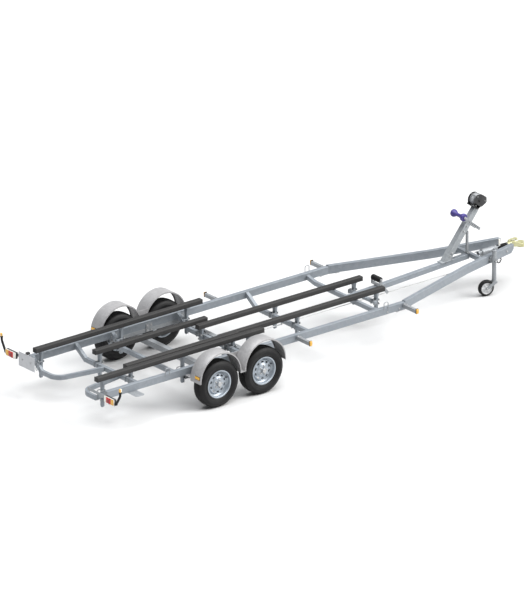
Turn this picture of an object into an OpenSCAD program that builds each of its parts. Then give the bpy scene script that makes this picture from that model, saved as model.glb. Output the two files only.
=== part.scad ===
// Tandem-axle boat trailer. Millimetres, +X forward to the coupling, +Y left, +Z up, ground at z = 0.
// Stations along the trailer (names ending in _x) are measured from the middle between the two axles.

/* [Frame] */
// Distance from the middle of the axles back to the rear end of the side rails
rail_rear = 2010; // [1800:10:2300]
// Distance from the middle of the axles forward to the front end of the side rails
rail_front = 3000; // [2850:10:3200]
// Distance from the centre line to the middle of a side rail
rail_side = 800; // [740:5:820]
// Width of a side rail's section
rail_w = 60; // [50:1:70]
// Height of a side rail's section
rail_h = 100; // [90:1:115]
// Height of the side rails' top above the ground
rail_top = 540; // [535:1:560]
// Wall of the box sections
wall = 4; // [3:0.5:6]

/* [Drawbar] */
// Station of the bend in the drawbar beams
drawbar_bend_x = 4420; // [4300:10:4550]
// Distance from the centre line to a beam's middle at the bend
drawbar_bend_side = 360; // [340:5:380]
// Station of the drawbar beams' front ends
drawbar_front_x = 5400; // [5200:10:5800]
// Distance from the centre line to a beam's middle at its front end
drawbar_front_side = 138; // [125:1:160]
// Height of a drawbar beam
drawbar_h = 112; // [100:1:130]
// Width and height of the centre beam
centre_beam_w = 70; // [50:1:80]

/* [Cross members] */
// Width of a cross member along the trailer
cross_w = 50; // [40:1:60]
// Height of a cross member's section
cross_h = 60; // [45:1:70]
// Height of the top of the dropped middle of the cross members
cross_low = 395; // [380:1:410]
// Half length of the dropped middle
cross_flat = 560; // [520:5:600]
// Stations of the four dropped cross members, rear to front
cross_x = [-1264, -654, 450, 1609];
// Station of the shallow cross member behind the drawbar
shallow_x = 2641; // [2560:1:2740]
// Height of the top of the shallow cross member's middle
shallow_low = 475; // [460:1:490]
// Station of the straight tube between the drawbar beams
front_tube_x = 4770; // [4650:1:4850]
// Centre radius of the corner of the rear loops
loop_r = 170; // [120:5:200]
// Inward angle of the rear loops' long legs
loop_angle = 9.5; // [6:0.5:11]

/* [Wheels] */
// Gap between the tyres of the two axles
tyre_gap = 100; // [70:5:140]
// Distance between the middles of the tyres on one axle
track = 2110; // [2100:5:2180]
// Outer diameter of a tyre
tyre_d = 650; // [620:1:660]
// Width of a tyre
tyre_w = 188; // [165:1:195]
// Diameter of the rim's flange
rim_d = 385; // [370:1:395]
// Width of the rim across its flanges
rim_w = 152; // [135:1:160]
// Diameter of the circle that the wheel bolts sit on
bolt_circle = 112; // [100:0.5:118]
// Wheel bolts in a rim
bolt_count = 5; // [4:1:6]
// Diameter of the stub axle
stub_d = 40; // [34:0.5:46]
// Radial running gap of a turning piece on its pin
pin_gap = 0.05; // [0.02:0.01:0.1]
// Width and height of an axle tube
axle_w = 80; // [70:1:90]
// Distance from the wheel centre forward to its axle tube
arm_reach = 172; // [160:1:180]
// Height of the subframe between the rail and the axle tubes
subframe_h = 55; // [45:1:70]

/* [Mudguards] */
// Distance from the tyre's tread to the outside of its mudguard's arch, fore and aft
guard_gap = 20; // [14:1:26]
// Height of the arch's centre above the wheel's centre
guard_rise = 105; // [95:1:125]
// Distance from a tyre's side to the edge of its mudguard
guard_side_gap = 12; // [8:1:16]
// Sheet thickness of a mudguard
guard_t = 3; // [2:0.5:4]
// Depth of the turned lip at a mudguard's edge
guard_lip = 14; // [8:1:18]

/* [Bunks] */
// Width of a bunk
bunk_w = 80; // [60:1:90]
// Height of a bunk
bunk_h = 64; // [50:1:75]
// Distance from the centre line to the outer bunks
bunk_outer_side = 650; // [620:1:680]
// Distance from the centre line to the inner rear bunks
bunk_rear_side = 326; // [320:1:350]
// Distance from the centre line to the inner front bunks
bunk_front_side = 234; // [210:1:236]
// Height of the outer bunks' top
bunk_outer_top = 697; // [670:1:720]
// Height of the inner rear bunks' top
bunk_rear_top = 588; // [575:1:610]
// Height of the inner front bunks' top
bunk_front_top = 552; // [545:1:570]
// Width of a bunk post
post_w = 50; // [40:1:56]
// Thickness of a bunk post along the trailer
post_t = 30; // [20:1:40]

// Stations of the rear and front ends of the outer bunks
bunk_outer_ends = [-2056, 734];
// Stations of the rear and front ends of the inner rear bunks
bunk_rear_ends = [-1320, 560];
// Stations of the rear and front ends of the inner front bunks
bunk_front_ends = [335, 3114];
// Height of the foot of the outer bunks' posts
outer_foot = 256; // [240:1:300]
// Height of the foot of the inner rear bunks' posts
rear_foot = 190; // [170:1:300]
// Height of the foot of the inner front bunks' posts
front_foot = 170; // [160:1:300]

/* [Winch and rollers] */
// Angle of the winch stand above the level
stand_angle = 51; // [46:0.5:54]
// Width of the winch stand's lower channel
stand_w = 80; // [70:1:90]
// Diameter of the bow roller's two ends
bow_roller_d = 106; // [90:1:116]
// Length of the bow roller
bow_roller_l = 250; // [220:1:270]
// Diameter of the keel roller
keel_roller_d = 78; // [70:1:86]
// Length of the keel roller
keel_roller_l = 170; // [150:1:190]
// Diameter of the pins that the rollers turn on
roller_pin_d = 16; // [14:0.5:20]

/* [Jockey wheel and coupling] */
// Outer diameter of the jockey tube
jockey_tube_d = 60; // [48:1:64]
// Diameter of the jockey wheel
jockey_wheel_d = 220; // [200:1:225]
// Width of the jockey wheel
jockey_wheel_w = 65; // [50:1:70]
// Distance that the jockey wheel trails behind its tube
jockey_trail = 118; // [114:1:125]
// Diameter of the towing ball that the coupling takes
ball_d = 50; // [50:0.1:50.8]
// Height of the coupling's middle above the ground
coupling_z = 450; // [440:1:460]

/* [Lights] */
// Width of a rear lamp cluster
lamp_w = 210; // [190:1:230]
// Height of a rear lamp cluster
lamp_h = 92; // [80:1:100]
// Distance from the centre line to the middle of a rear lamp cluster
lamp_side = 1042; // [1030:1:1060]
// Width of the blank number plate
plate_w = 340; // [320:1:345]
// Height of the blank number plate
plate_h = 200; // [180:1:210]

// Height of the rear lamps' bottom above the ground
lamp_z = 470; // [455:1:480]
// Height of the number plate's bottom above the ground
plate_z = 413; // [400:1:430]
// Stations of the two side markers on a rail
marker_x = [1173, 2978];
// Length of a side marker's bracket
marker_reach = 270; // [240:5:280]

/* [Hidden] */
$fn = 48;
shaft_d = 58;
rear_x = -rail_rear - 150;
front_x = drawbar_front_x + 320;
mid_x = (rear_x + front_x) / 2;
wheelbase = tyre_d + tyre_gap;
axle_half = wheelbase / 2;
wheel_z = tyre_d / 2;
wheel_side = track / 2;
rail_bottom = rail_top - rail_h;
rail_in = rail_side - rail_w / 2;
rail_out = rail_side + rail_w / 2;
drawbar_bottom = rail_bottom;
drawbar_top = drawbar_bottom + drawbar_h;
knee_angle = atan2(rail_side - drawbar_bend_side, drawbar_bend_x - rail_front);
nose_angle = atan2(drawbar_bend_side - drawbar_front_side, drawbar_front_x - drawbar_bend_x);
axle_top = rail_bottom - subframe_h;
axle_z = axle_top - axle_w / 2;
arm_in = wheel_side - rim_w / 2 - 38;
hub_face = 52;
guard_r = tyre_d / 2 + guard_gap;
guard_z = wheel_z + guard_rise;
guard_w = tyre_w + 2 * guard_side_gap;
guard_in = wheel_side - guard_w / 2;
loop_x = -rail_rear + cross_w / 2;
plate_side = 700;
step_x = -1669;
jockey_x = 4940;
jockey_side = drawbar_y(jockey_x) + rail_w / 2 / cos(nose_angle) + jockey_tube_d / 2 + 16;
jockey_swing = 15;
jockey_top = drawbar_top + 70;
jockey_foot = jockey_wheel_d / 2 + 100;
stand_foot_x = 4300;
stand_foot_z = beam_bottom(stand_foot_x) + centre_beam_w / cos(atan(beam_rise())) + 4;
front_post_x = 2950;
keel_x = 3190;
bow_x = 4590;
bow_z = 1117;
winch_x = 4892;
winch_z = 1262;
winch_r = 97;
winch_w = 134;
winch_shaft_d = 24;
keel_z = 566;
rod_side = 45;
rod_z = axle_z - axle_w / 2 - 6.2;
winch_up = (winch_x - stand_foot_x) * cos(stand_angle) + (winch_z - stand_foot_z) * sin(stand_angle);

// ---------- shared shapes ----------

// Distance from the centre line to a drawbar beam's middle at a station.
function drawbar_y(x) = x < drawbar_bend_x
    ? drawbar_bend_side + (drawbar_bend_x - x) * tan(knee_angle)
    : drawbar_bend_side - (x - drawbar_bend_x) * tan(nose_angle);
function front_tube_top() = drawbar_top - 5;
// Rise of the centre beam for each millimetre forward, and the height of its bottom at a station.
function beam_bottom(x) = shallow_low - 30 - centre_beam_w + (x - shallow_x) * beam_rise();
function beam_rise() = (front_tube_top() - 7 - shallow_low + 30) / (front_tube_x - shallow_x);

// Everything is drawn about the middle of the axles and moved to the middle of the trailer here.
module place() { translate([-mid_x, 0, 0]) children(); }

// The same shape on both sides.
module both() {
    children();
    mirror([0, 1, 0]) children();
}

// A square box section along X, open at both ends.
module box_tube(l, w, h, t = wall) {
    difference() {
        translate([0, -w / 2, 0]) cube([l, w, h]);
        translate([-1, -w / 2 + t, t]) cube([l + 2, w - 2 * t, h - 2 * t]);
    }
}

// A cylinder along Y, centred.
module rod_y(d, l) { rotate([90, 0, 0]) cylinder(d = d, h = l, center = true); }

// Outline, seen along X, of a bar that is flat in the middle and rises to a rail at both ends.
module dropped_bar(low, high, flat, reach, h) {
    rise = high - low;
    run = reach - flat;
    // a bar keeps its thickness square to the slope
    shift = h * tan(atan2(rise, run) / 2);
    polygon([[-reach, high], [-flat, low], [flat, low], [reach, high], [reach, high - h / cos(atan2(rise, run))],
        [flat + shift, low - h], [-flat - shift, low - h], [-reach, high - h / cos(atan2(rise, run))]]);
}

module cross_bar(x, low, high, flat) {
    translate([x - cross_w / 2, 0, 0]) rotate([90, 0, 90]) linear_extrude(cross_w)
        dropped_bar(low, high, flat, rail_in, cross_h);
}

// ---------- frame ----------

module side_rails() {
    color("lightsteelblue") both() translate([-rail_rear, rail_side, rail_bottom])
        box_tube(rail_rear + rail_front, rail_w, rail_h);
}

// Outline, from above, of a strip of width w along a drawbar beam from the rail's end to the nose.
module drawbar_outline(w, grow) {
    x = [rail_front + 0.3 - grow, drawbar_bend_x, drawbar_front_x + grow];
    rear = w / 2 / cos(knee_angle);
    bend = w / 2 / cos((knee_angle + nose_angle) / 2);
    nose = w / 2 / cos(nose_angle);
    polygon([[x[0], drawbar_y(x[0]) - rear], [x[1], drawbar_y(x[1]) - bend], [x[2], drawbar_y(x[2]) - nose],
        [x[2], drawbar_y(x[2]) + nose], [x[1], drawbar_y(x[1]) + bend], [x[0], drawbar_y(x[0]) + rear]]);
}

module drawbar_beams() {
    color("lightsteelblue") both() difference() {
        translate([0, 0, drawbar_bottom]) linear_extrude(drawbar_h) drawbar_outline(rail_w, 0);
        translate([0, 0, drawbar_bottom + wall]) linear_extrude(drawbar_h - 2 * wall)
            drawbar_outline(rail_w - 2 * wall, 2);
        // the front end is cut back below
        translate([drawbar_front_x - 70, -10, drawbar_bottom - 20]) rotate([0, -45, 0])
            translate([0, 0, -200]) cube([300, 500, 200]);
    }
}

// A plate below each knee joins the drawbar beam to its rail.
module knee_brackets() {
    x = [rail_front - 150, rail_front, rail_front + 150];
    half = rail_w / 2 - 4;
    color("silver") both() translate([0, 0, drawbar_bottom - 8]) linear_extrude(8)
        polygon([[x[0], rail_side - half], [x[1], rail_side - half], [x[2], drawbar_y(x[2]) - half],
            [x[2], drawbar_y(x[2]) + half], [x[1], rail_side + half], [x[0], rail_side + half]]);
}

// A bent bar from each rail's rear end inward, round a corner and forward to the first cross member.
module rear_loop() {
    turn = 90 - loop_angle;
    start_y = 420;
    centre = [loop_x + loop_r, start_y];
    low = cross_low;
    end_a = 180 + turn;
    leg_start = centre + loop_r * [cos(end_a), sin(end_a)];
    leg_l = (cross_x[0] - cross_w / 2 - leg_start[0]) / cos(loop_angle);
    difference() {
        translate([loop_x - 20, 0, 0]) rotate([90, 0, 90]) linear_extrude(40)
            dropped_bar(low, rail_top - 5, cross_flat, rail_in, cross_h);
        translate([loop_x - 50, -1000, 0]) cube([100, 1000 + start_y, 1000]);
    }
    translate([centre[0], centre[1], low - cross_h]) rotate([0, 0, 180]) rotate_extrude(angle = turn)
        translate([loop_r - 20, 0]) square([40, cross_h]);
    translate([leg_start[0], leg_start[1], low - cross_h]) rotate([0, 0, -loop_angle])
        translate([-0.5, -20, 0]) cube([leg_l + 0.5 - 20 * tan(loop_angle), 40, cross_h]);
}

module rear_loops() { color("lightsteelblue") both() rear_loop(); }

module cross_members() {
    color("lightsteelblue") {
        for (x = cross_x) cross_bar(x, cross_low, rail_top - 5, cross_flat);
        cross_bar(shallow_x, shallow_low, shallow_low + 35, 600);
        side = drawbar_y(front_tube_x + cross_w / 2) - rail_w / 2 / cos(nose_angle);
        translate([front_tube_x - cross_w / 2, -side, front_tube_top() - cross_h])
            cube([cross_w, 2 * side, cross_h]);
        // short bar under the centre beam for the front bunk posts
        translate([front_post_x - cross_w / 2, -bunk_front_side - 40, beam_bottom(front_post_x - cross_w / 2) - 40.2])
            cube([cross_w, 2 * bunk_front_side + 80, 40]);
    }
}

// The centre beam rises from the shallow cross member to the straight front tube.
module centre_beam() {
    x0 = shallow_x + cross_w / 2;
    x1 = front_tube_x - cross_w / 2;
    angle = atan(beam_rise());
    color("lightsteelblue") intersection() {
        translate([x0 - 100, 0, beam_bottom(x0 - 100)]) rotate([0, -angle, 0])
            box_tube((x1 - x0 + 200) / cos(angle), centre_beam_w, centre_beam_w);
        translate([x0, -200, 0]) cube([x1 - x0, 400, 1000]);
    }
}

// ---------- running gear ----------

module axle_subframes() {
    x0 = -axle_half - 330;
    l = 2 * axle_half + 560;
    color("silver") both() translate([x0, rail_side, axle_top])
        box_tube(l, rail_w, rail_bottom - axle_top);
}

module axle_tubes() {
    color("silver") for (x = [-axle_half, axle_half])
        translate([x + arm_reach, 0, axle_z]) difference() {
            cube([axle_w, 2 * arm_in - 34.4, axle_w], center = true);
            cube([axle_w - 2 * wall, 2 * arm_in, axle_w - 2 * wall], center = true);
        }
}

// Swing arm, brake back plate and stub axle of one wheel, at +Y.
module swing_arm() {
    plate_y = wheel_side - 62;
    // arm
    hull() {
        translate([arm_reach, arm_in, axle_z]) rod_y(90, 34);
        translate([0, arm_in, wheel_z]) rod_y(64, 34);
    }
    // pin into the axle tube
    translate([arm_reach, arm_in - 60, axle_z]) rod_y(56, 120);
    // brake back plate and stub axle
    translate([0, arm_in + 14, wheel_z]) rod_y(60, 24);
    translate([0, plate_y - 28, wheel_z]) rod_y(250, 52);
    translate([0, (plate_y + wheel_side + hub_face + 12) / 2 - 4, wheel_z])
        rod_y(stub_d, wheel_side + hub_face + 12 - plate_y + 8);
}

module swing_arms() {
    color("dimgray") both() for (x = [-axle_half, axle_half]) translate([x, 0, 0]) swing_arm();
}

// Profile of half a rim: [distance along the axle, radius]; outside is +.
module rim_profile() {
    hw = rim_w / 2;
    seat_r = rim_d / 2 - 16;
    polygon([[-hw, rim_d / 2], [-hw, seat_r - 4], [-hw + 30, seat_r - 4], [-hw + 42, seat_r - 26],
        [hw - 60, seat_r - 26], [hw - 40, seat_r - 4], [hw - 10, seat_r - 4], [hw, seat_r + 2], [hw, rim_d / 2],
        [hw - 6, rim_d / 2], [hw - 8, seat_r], [hw - 42, seat_r], [hw - 62, seat_r - 22],
        [-hw + 44, seat_r - 22], [-hw + 32, seat_r], [-hw + 8, seat_r], [-hw + 6, rim_d / 2]]);
}

// Dished disc and hub of a rim.
module disc_profile() {
    seat_r = rim_d / 2 - 16;
    polygon([[hub_face - 4, 44], [hub_face - 4, 78], [hub_face - 20, 98], [hub_face - 22, 132],
        [hub_face - 44, seat_r - 24], [hub_face - 38, seat_r - 24], [hub_face - 16, 136],
        [hub_face - 14, 100], [hub_face + 2, 80], [hub_face + 2, 44]]);
}

module hub_profile() {
    bore = stub_d / 2 + pin_gap;
    polygon([[-20, bore], [-20, 44], [hub_face + 2, 44], [hub_face + 2, 34], [hub_face + 30, 30],
        [hub_face + 30, 0], [hub_face + 20, 0], [hub_face + 20, bore]]);
}

module turned() { rotate([90, 0, 0]) rotate_extrude($fn = 96) rotate([0, 0, 90]) mirror([0, 1, 0]) children(); }

// Long hole with round ends, cut through the disc along Y.
module vent() {
    for (end = [-1, 1]) translate([0, 0, end * 10]) rod_y(22, 60);
    cube([22, 60, 20], center = true);
}

// One wheel's rim with its centre at the origin and its face to +Y.
module rim() {
    difference() {
        union() {
            mirror([0, 1, 0]) turned() rim_profile();
            mirror([0, 1, 0]) turned() disc_profile();
            mirror([0, 1, 0]) turned() hub_profile();
        }
        for (i = [0 : bolt_count - 1]) rotate([0, 360 / bolt_count * i, 0])
            translate([bolt_circle / 2, hub_face, 0]) rod_y(15, 40);
        for (i = [0 : 9]) rotate([0, 36 * i + 18, 0]) translate([116, hub_face - 20, 0]) vent();
    }
}

module tyre_profile() {
    hw = tyre_w / 2;
    r = tyre_d / 2;
    bead = rim_d / 2 - 16 + 0.3;
    bw = rim_w / 2 - 8.3;
    polygon([[-bw, bead], [-bw, bead + 16], [-bw - 3, rim_d / 2 + 6], [-hw + 2, rim_d / 2 + 34], [-hw, r - 70],
        [-hw + 6, r - 32], [-hw + 20, r - 10], [-hw + 40, r - 2], [-30, r], [30, r],
        [hw - 40, r - 2], [hw - 20, r - 10], [hw - 6, r - 32], [hw, r - 70], [hw - 2, rim_d / 2 + 34],
        [bw + 3, rim_d / 2 + 6], [bw, bead + 16], [bw, bead], [bw - 26, bead], [bw - 26, rim_d / 2 + 8],
        [hw - 14, r - 70], [hw - 26, r - 26], [-hw + 26, r - 26], [-hw + 14, r - 70], [-bw + 26, rim_d / 2 + 8],
        [-bw + 26, bead]]);
}

module tyre() { turned() tyre_profile(); }

module at_wheel(end, side) {
    translate([end * axle_half, side * wheel_side, wheel_z]) mirror([0, side < 0 ? 1 : 0, 0]) children();
}

module rim_at(end, side) { color("silver") at_wheel(end, side) rim(); }
module tyre_at(end, side) { color("dimgray") at_wheel(end, side) tyre(); }

// ---------- mudguards ----------

module guard_ring(r, y0, y1) {
    translate([0, y1, 0]) rotate([90, 0, 0]) cylinder(r = r, h = y1 - y0, $fn = 96);
}

// One arch over a wheel, closed above and open below.
module guard_arch() {
    intersection() {
        difference() {
            guard_ring(guard_r, 0, guard_w);
            guard_ring(guard_r - guard_t, guard_t, guard_w - guard_t);
            guard_ring(guard_r - guard_lip, -1, guard_w + 1);
        }
        translate([-guard_r - 10, -10, -20]) cube([2 * guard_r + 20, guard_w + 20, guard_r + 40]);
    }
}

module mudguard() {
    gap = wheelbase - 2 * guard_r;
    web_top = 195;
    web_half = axle_half - sqrt(pow(guard_r, 2) - pow(web_top, 2));
    color("gainsboro") translate([0, guard_in, guard_z]) {
        difference() {
            union() {
                for (x = [-axle_half, axle_half]) translate([x, 0, 0]) guard_arch();
                // the floor of the valley between the arches
                translate([-gap / 2 - 2, 0, -20]) cube([gap + 4, guard_w, guard_t]);
                // web plate at the inner edge
                translate([-web_half - 40, 0, -20]) cube([2 * web_half + 80, guard_t, web_top + 20]);
            }
            for (x = [-axle_half, axle_half]) translate([x, 0, 0]) guard_ring(guard_r - guard_lip, -1, guard_w + 1);
        }
        // stays to the rail
        for (x = [-axle_half - guard_r + 12, -30, axle_half + guard_r - 72])
            translate([x, rail_out - guard_in, 10]) cube([60, guard_in - rail_out + 2, 6]);
    }
}

// ---------- bunks ----------

module bunk_pair(ends, side, top) {
    both() translate([ends[0], side - bunk_w / 2, top - bunk_h]) cube([ends[1] - ends[0], bunk_w, bunk_h]);
}

module bunks_outer() { color("dimgray") bunk_pair(bunk_outer_ends, bunk_outer_side, bunk_outer_top); }

module bunks_inner() {
    color("dimgray") {
        bunk_pair(bunk_rear_ends, bunk_rear_side, bunk_rear_top);
        bunk_pair(bunk_front_ends, bunk_front_side, bunk_front_top);
    }
}

// A post on the front or rear face of a cross member: round at its foot, wider at its head, with a
// top plate under its bunk.
module post(x, side, foot, top) {
    head = post_w / 2 + 10;
    neck = top - 95;
    translate([x - post_t / 2, side, 0]) rotate([90, 0, 90]) linear_extrude(post_t)
        polygon([[-post_w / 2, foot + post_w / 2], [post_w / 2, foot + post_w / 2], [post_w / 2, neck],
            [head, top - 5], [-head, top - 5], [-post_w / 2, neck]]);
    translate([x - post_t / 2, side, foot + post_w / 2]) rotate([0, 90, 0]) cylinder(d = post_w, h = post_t);
    translate([x - post_t, side - head, top - 5]) cube([2 * post_t, 2 * head, 5]);
}

module bunk_posts() {
    ahead = (cross_w + post_t) / 2;
    outer = bunk_outer_top - bunk_h;
    rear = bunk_rear_top - bunk_h;
    front = bunk_front_top - bunk_h;
    color("lightsteelblue") both() {
        post(loop_x + 20 + post_t / 2, bunk_outer_side, outer_foot, outer);
        post(cross_x[1] + ahead, bunk_outer_side, outer_foot, outer);
        post(cross_x[2] + ahead, bunk_outer_side, outer_foot, outer);
        post(cross_x[0] + ahead, bunk_rear_side, rear_foot, rear);
        post(cross_x[2] + ahead, bunk_rear_side, rear_foot, rear);
        post(cross_x[2] - ahead, bunk_front_side, front_foot, front);
        post(cross_x[3] + ahead, bunk_front_side, front_foot, front);
        post(front_post_x + ahead, bunk_front_side, front_foot, front);
    }
}

// ---------- lights ----------

module tail_lights() {
    color("firebrick") both() translate([rear_x, lamp_side - lamp_w / 2, lamp_z]) cube([55, lamp_w, lamp_h]);
}

module number_plate() {
    color("lightgray") translate([rear_x + 10, plate_side - plate_w / 2, plate_z]) cube([4, plate_w, plate_h]);
}

// Angle brackets that carry the rear lamps and plate, and channels that carry the side markers.
module lamp_brackets() {
    // spacers behind the number plate
    color("silver") for (y = [plate_side - 100, plate_side + 76]) translate([rear_x + 14.2, y, lamp_z + 35]) cube([41, 24, 30]);
    color("silver") both() {
        translate([rear_x + 55, 530, lamp_z + 30]) cube([5, lamp_side + lamp_w / 2 - 540, 40]);
        translate([rear_x + 60, rail_side - 25, lamp_z + 10]) cube([-rail_rear - rear_x - 61, 50, 5]);
        // cap on the rail's end
        translate([-rail_rear - 5.2, rail_side - rail_w / 2, rail_bottom]) cube([5, rail_w, rail_h]);
        translate([rear_x + 55, rail_side - 25, lamp_z + 10]) cube([5, 50, 20]);
        for (x = marker_x) translate([x - 20, rail_out, rail_bottom + 30]) difference() {
            cube([40, marker_reach, 50]);
            translate([4, -1, 4]) cube([40, marker_reach + 2, 42]);
        }
    }
}

module marker_lamps() {
    color("orange") both() {
        for (x = marker_x) translate([x - 22, rail_out + marker_reach, rail_bottom + 22]) cube([44, 26, 74]);
        // rubber arm with the outline lamp
        translate([rear_x + 12, 0, 0]) rotate([90, 0, 90]) linear_extrude(36)
            polygon([for (p = [[0, 8], [30, 8], [89, 130], [123, 170], [123, 275], [93, 275], [93, 180], [59, 140], [0, 50]])
                [lamp_side + lamp_w / 2 + p[0], lamp_z + p[1]]]);
    }
}

module step_plates() {
    color("silver") both() translate([step_x, rail_side - 20, rail_bottom - 5]) cube([150, 238, 5]);
}

// ---------- winch stand and rollers ----------

// Places children along the stand: local X runs up the stand, local Z is its front face.
module on_stand() { translate([stand_foot_x, 0, stand_foot_z]) rotate([0, -stand_angle, 0]) children(); }

function stand_l(z) = (z - stand_foot_z) / sin(stand_angle);

module winch_post_lower() {
    l = stand_l(1010);
    color("silver") {
        intersection() {
            on_stand() difference() {
                translate([-150, -stand_w / 2, -90]) cube([l + 150, stand_w, 90]);
                translate([-151, -stand_w / 2 + wall, -91]) cube([l + 152, stand_w - 2 * wall, 91 - wall]);
            }
            translate([3900, -200, stand_foot_z]) cube([1500, 400, 1200]);
        }
        translate([stand_foot_x - 40, -stand_w / 2 - 10, stand_foot_z - 3]) rotate([0, -atan(beam_rise()), 0])
            cube([210, stand_w + 20, 7]);
    }
}

// The upper tube slides in the channel and ends below the winch.
module winch_post_upper() {
    start = stand_l(1010) - 230;
    color("lightgray") on_stand() translate([start, 0, -87])
        box_tube(winch_up - winch_r - 10.3 - start, stand_w - 2 * wall - 1, 82);
}

// Upright stay from the front tube to the head of the channel.
module winch_strut() {
    x = front_tube_x - 36;
    color("silver") translate([x, 0, 0]) {
        translate([-15, -15, front_tube_top() + 0.2]) cube([30, 30, 310]);
        translate([-15, -stand_w / 2 - 8, front_tube_top() + 0.2]) cube([50, stand_w + 16, 6]);
    }
}

// Two covers on a base plate, which rests on the end of the upper tube.
module winch_frame() {
    color("dimgray") translate([winch_x, 0, winch_z]) rotate([0, -stand_angle, 0]) difference() {
        union() {
            for (y = [-winch_w / 2, winch_w / 2 - 8]) translate([0, y, 0]) {
                translate([0, 8, 0]) rotate([90, 0, 0]) cylinder(r = winch_r, h = 8, $fn = 64);
                translate([-winch_r - 4, 0, -winch_r * 0.6]) cube([winch_r, 8, winch_r * 1.2]);
                translate([0, 0, -winch_r * 1.0]) cube([winch_r * 0.75, 8, winch_r]);
            }
            translate([-winch_r - 10, -winch_w / 2, -winch_r * 0.6]) cube([8, winch_w, winch_r * 1.2]);
        }
        rod_y(winch_shaft_d + 2 * pin_gap, winch_w + 2);
    }
}

module winch_drum() {
    color("lightgray") translate([winch_x, 0, winch_z]) {
        rod_y(winch_r * 1.6, winch_w - 28);
        rod_y(winch_shaft_d, winch_w + 16);
    }
}

// Places children at the bow roller: local X runs along its arm, away from the roller.
module at_bow() { translate([bow_x, 0, bow_z]) rotate([0, 90 - stand_angle, 0]) children(); }

// Arms beside the stand, a yoke behind the roller, its two ears and the pin between them.
module bow_roller_arm() {
    ear = bow_roller_l / 2 + 5.5;
    color("silver") at_bow() {
        for (side = [-1, 1]) {
            translate([bow_roller_d / 2 + 8, side > 0 ? stand_w / 2 + 0.2 : -stand_w / 2 - 6.2, -20])
                cube([360, 6, 40]);
            translate([0, side > 0 ? ear : -ear - 6, 0]) {
                translate([0, 6, 0]) rotate([90, 0, 0]) cylinder(r = 18, h = 6);
                translate([0, 0, -18]) cube([bow_roller_d / 2 + 14, 6, 36]);
            }
        }
        translate([bow_roller_d / 2 + 8, -ear - 6, -18]) cube([6, 2 * ear + 12, 36]);
        rod_y(roller_pin_d, 2 * ear + 16);
    }
}

module bow_roller() {
    r = bow_roller_d / 2;
    h = bow_roller_l / 2;
    bore = roller_pin_d / 2 + pin_gap;
    color("slateblue") translate([bow_x, 0, bow_z]) turned()
        polygon([[-h, bore], [-h, r - 22], [-h + 18, r - 4], [-h + 40, r], [-h + 66, r - 10], [-30, 24],
            [30, 24], [h - 66, r - 10], [h - 40, r], [h - 18, r - 4], [h, r - 22], [h, bore]]);
}

// Ears, base and pin of the keel roller, and the bar that holds them on the centre beam.
module keel_roller_bracket() {
    ear = keel_roller_l / 2 + 5.5;
    base_z = beam_bottom(keel_x + 45) + centre_beam_w + 2;
    color("silver") {
        for (y = [-ear - 6, ear]) translate([keel_x, y, keel_z]) {
            translate([0, 6, 0]) rotate([90, 0, 0]) cylinder(r = 20, h = 6);
            translate([-20, 0, base_z - keel_z]) cube([40, 6, keel_z - base_z]);
            translate([-20, 0, base_z - keel_z]) cube([70, 6, 24]);
        }
        translate([keel_x - 20, -ear - 6, base_z]) cube([70, 2 * ear + 12, 6]);
        translate([keel_x, 0, keel_z]) rod_y(roller_pin_d, 2 * ear + 18);
        translate([keel_x + 44, -centre_beam_w / 2 - 10, base_z]) rotate([0, 51, 0])
            translate([-6, 4, -20]) cube([190, 6, 40]);
    }
}

module keel_roller() {
    color("dimgray") translate([keel_x, 0, keel_z]) difference() {
        rod_y(keel_roller_d, keel_roller_l);
        rod_y(roller_pin_d + 2 * pin_gap, keel_roller_l + 2);
    }
}

// ---------- jockey wheel ----------

// Split clamp round the tube and its plate on the drawbar beam.
module jockey_clamp() {
    z = drawbar_bottom + 14;
    color("silver") {
        translate([jockey_x, -jockey_side, z]) difference() {
            cylinder(r = jockey_tube_d / 2 + 8, h = 84);
            translate([0, 0, -1]) cylinder(r = jockey_tube_d / 2 + pin_gap, h = 86);
        }
        intersection() {
            translate([jockey_x - 60, -jockey_side, z]) difference() {
                cube([120, 70, 84]);
                translate([60, 0, -1]) cylinder(r = jockey_tube_d / 2 + 4, h = 86);
            }
            mirror([0, 1, 0]) translate([0, 0, z]) linear_extrude(84) difference() {
                drawbar_outline(rail_w + 60, 0);
                drawbar_outline(rail_w + 0.4, 10);
            }
        }
    }
}

module jockey_tube() {
    color("silver") translate([jockey_x, -jockey_side, jockey_foot]) difference() {
        cylinder(d = jockey_tube_d, h = jockey_top - jockey_foot);
        translate([0, 0, -1]) cylinder(r = 15 + pin_gap, h = 81);
    }
}

module at_jockey() { translate([jockey_x, -jockey_side, 0]) rotate([0, 0, -jockey_swing]) children(); }

// Swivel pin, crown, two legs and the wheel's pin.
module jockey_fork() {
    half = jockey_wheel_w / 2 + 5.5;
    leg = [[-30, jockey_foot - 20], [30, jockey_foot - 20], [30, jockey_foot - 34],
        [-jockey_trail + 18, jockey_wheel_d / 2 - 14], [-jockey_trail - 18, jockey_wheel_d / 2 + 8]];
    color("silver") at_jockey() {
        translate([0, 0, jockey_foot - 21]) cylinder(d = jockey_tube_d, h = 20.7);
        translate([0, 0, jockey_foot - 2]) cylinder(r = 15, h = 72);
        for (y = [-half - 6, half]) translate([0, y, 0]) {
            translate([0, 6, 0]) rotate([90, 0, 0]) linear_extrude(6) polygon(leg);
            translate([-jockey_trail, 6, jockey_wheel_d / 2]) rotate([90, 0, 0]) cylinder(r = 20, h = 6);
        }
        translate([-30, -half - 6, jockey_foot - 26]) cube([60, 2 * half + 12, 8]);
        translate([-jockey_trail, 0, jockey_wheel_d / 2]) rod_y(16, 2 * half + 22);
    }
}

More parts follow.
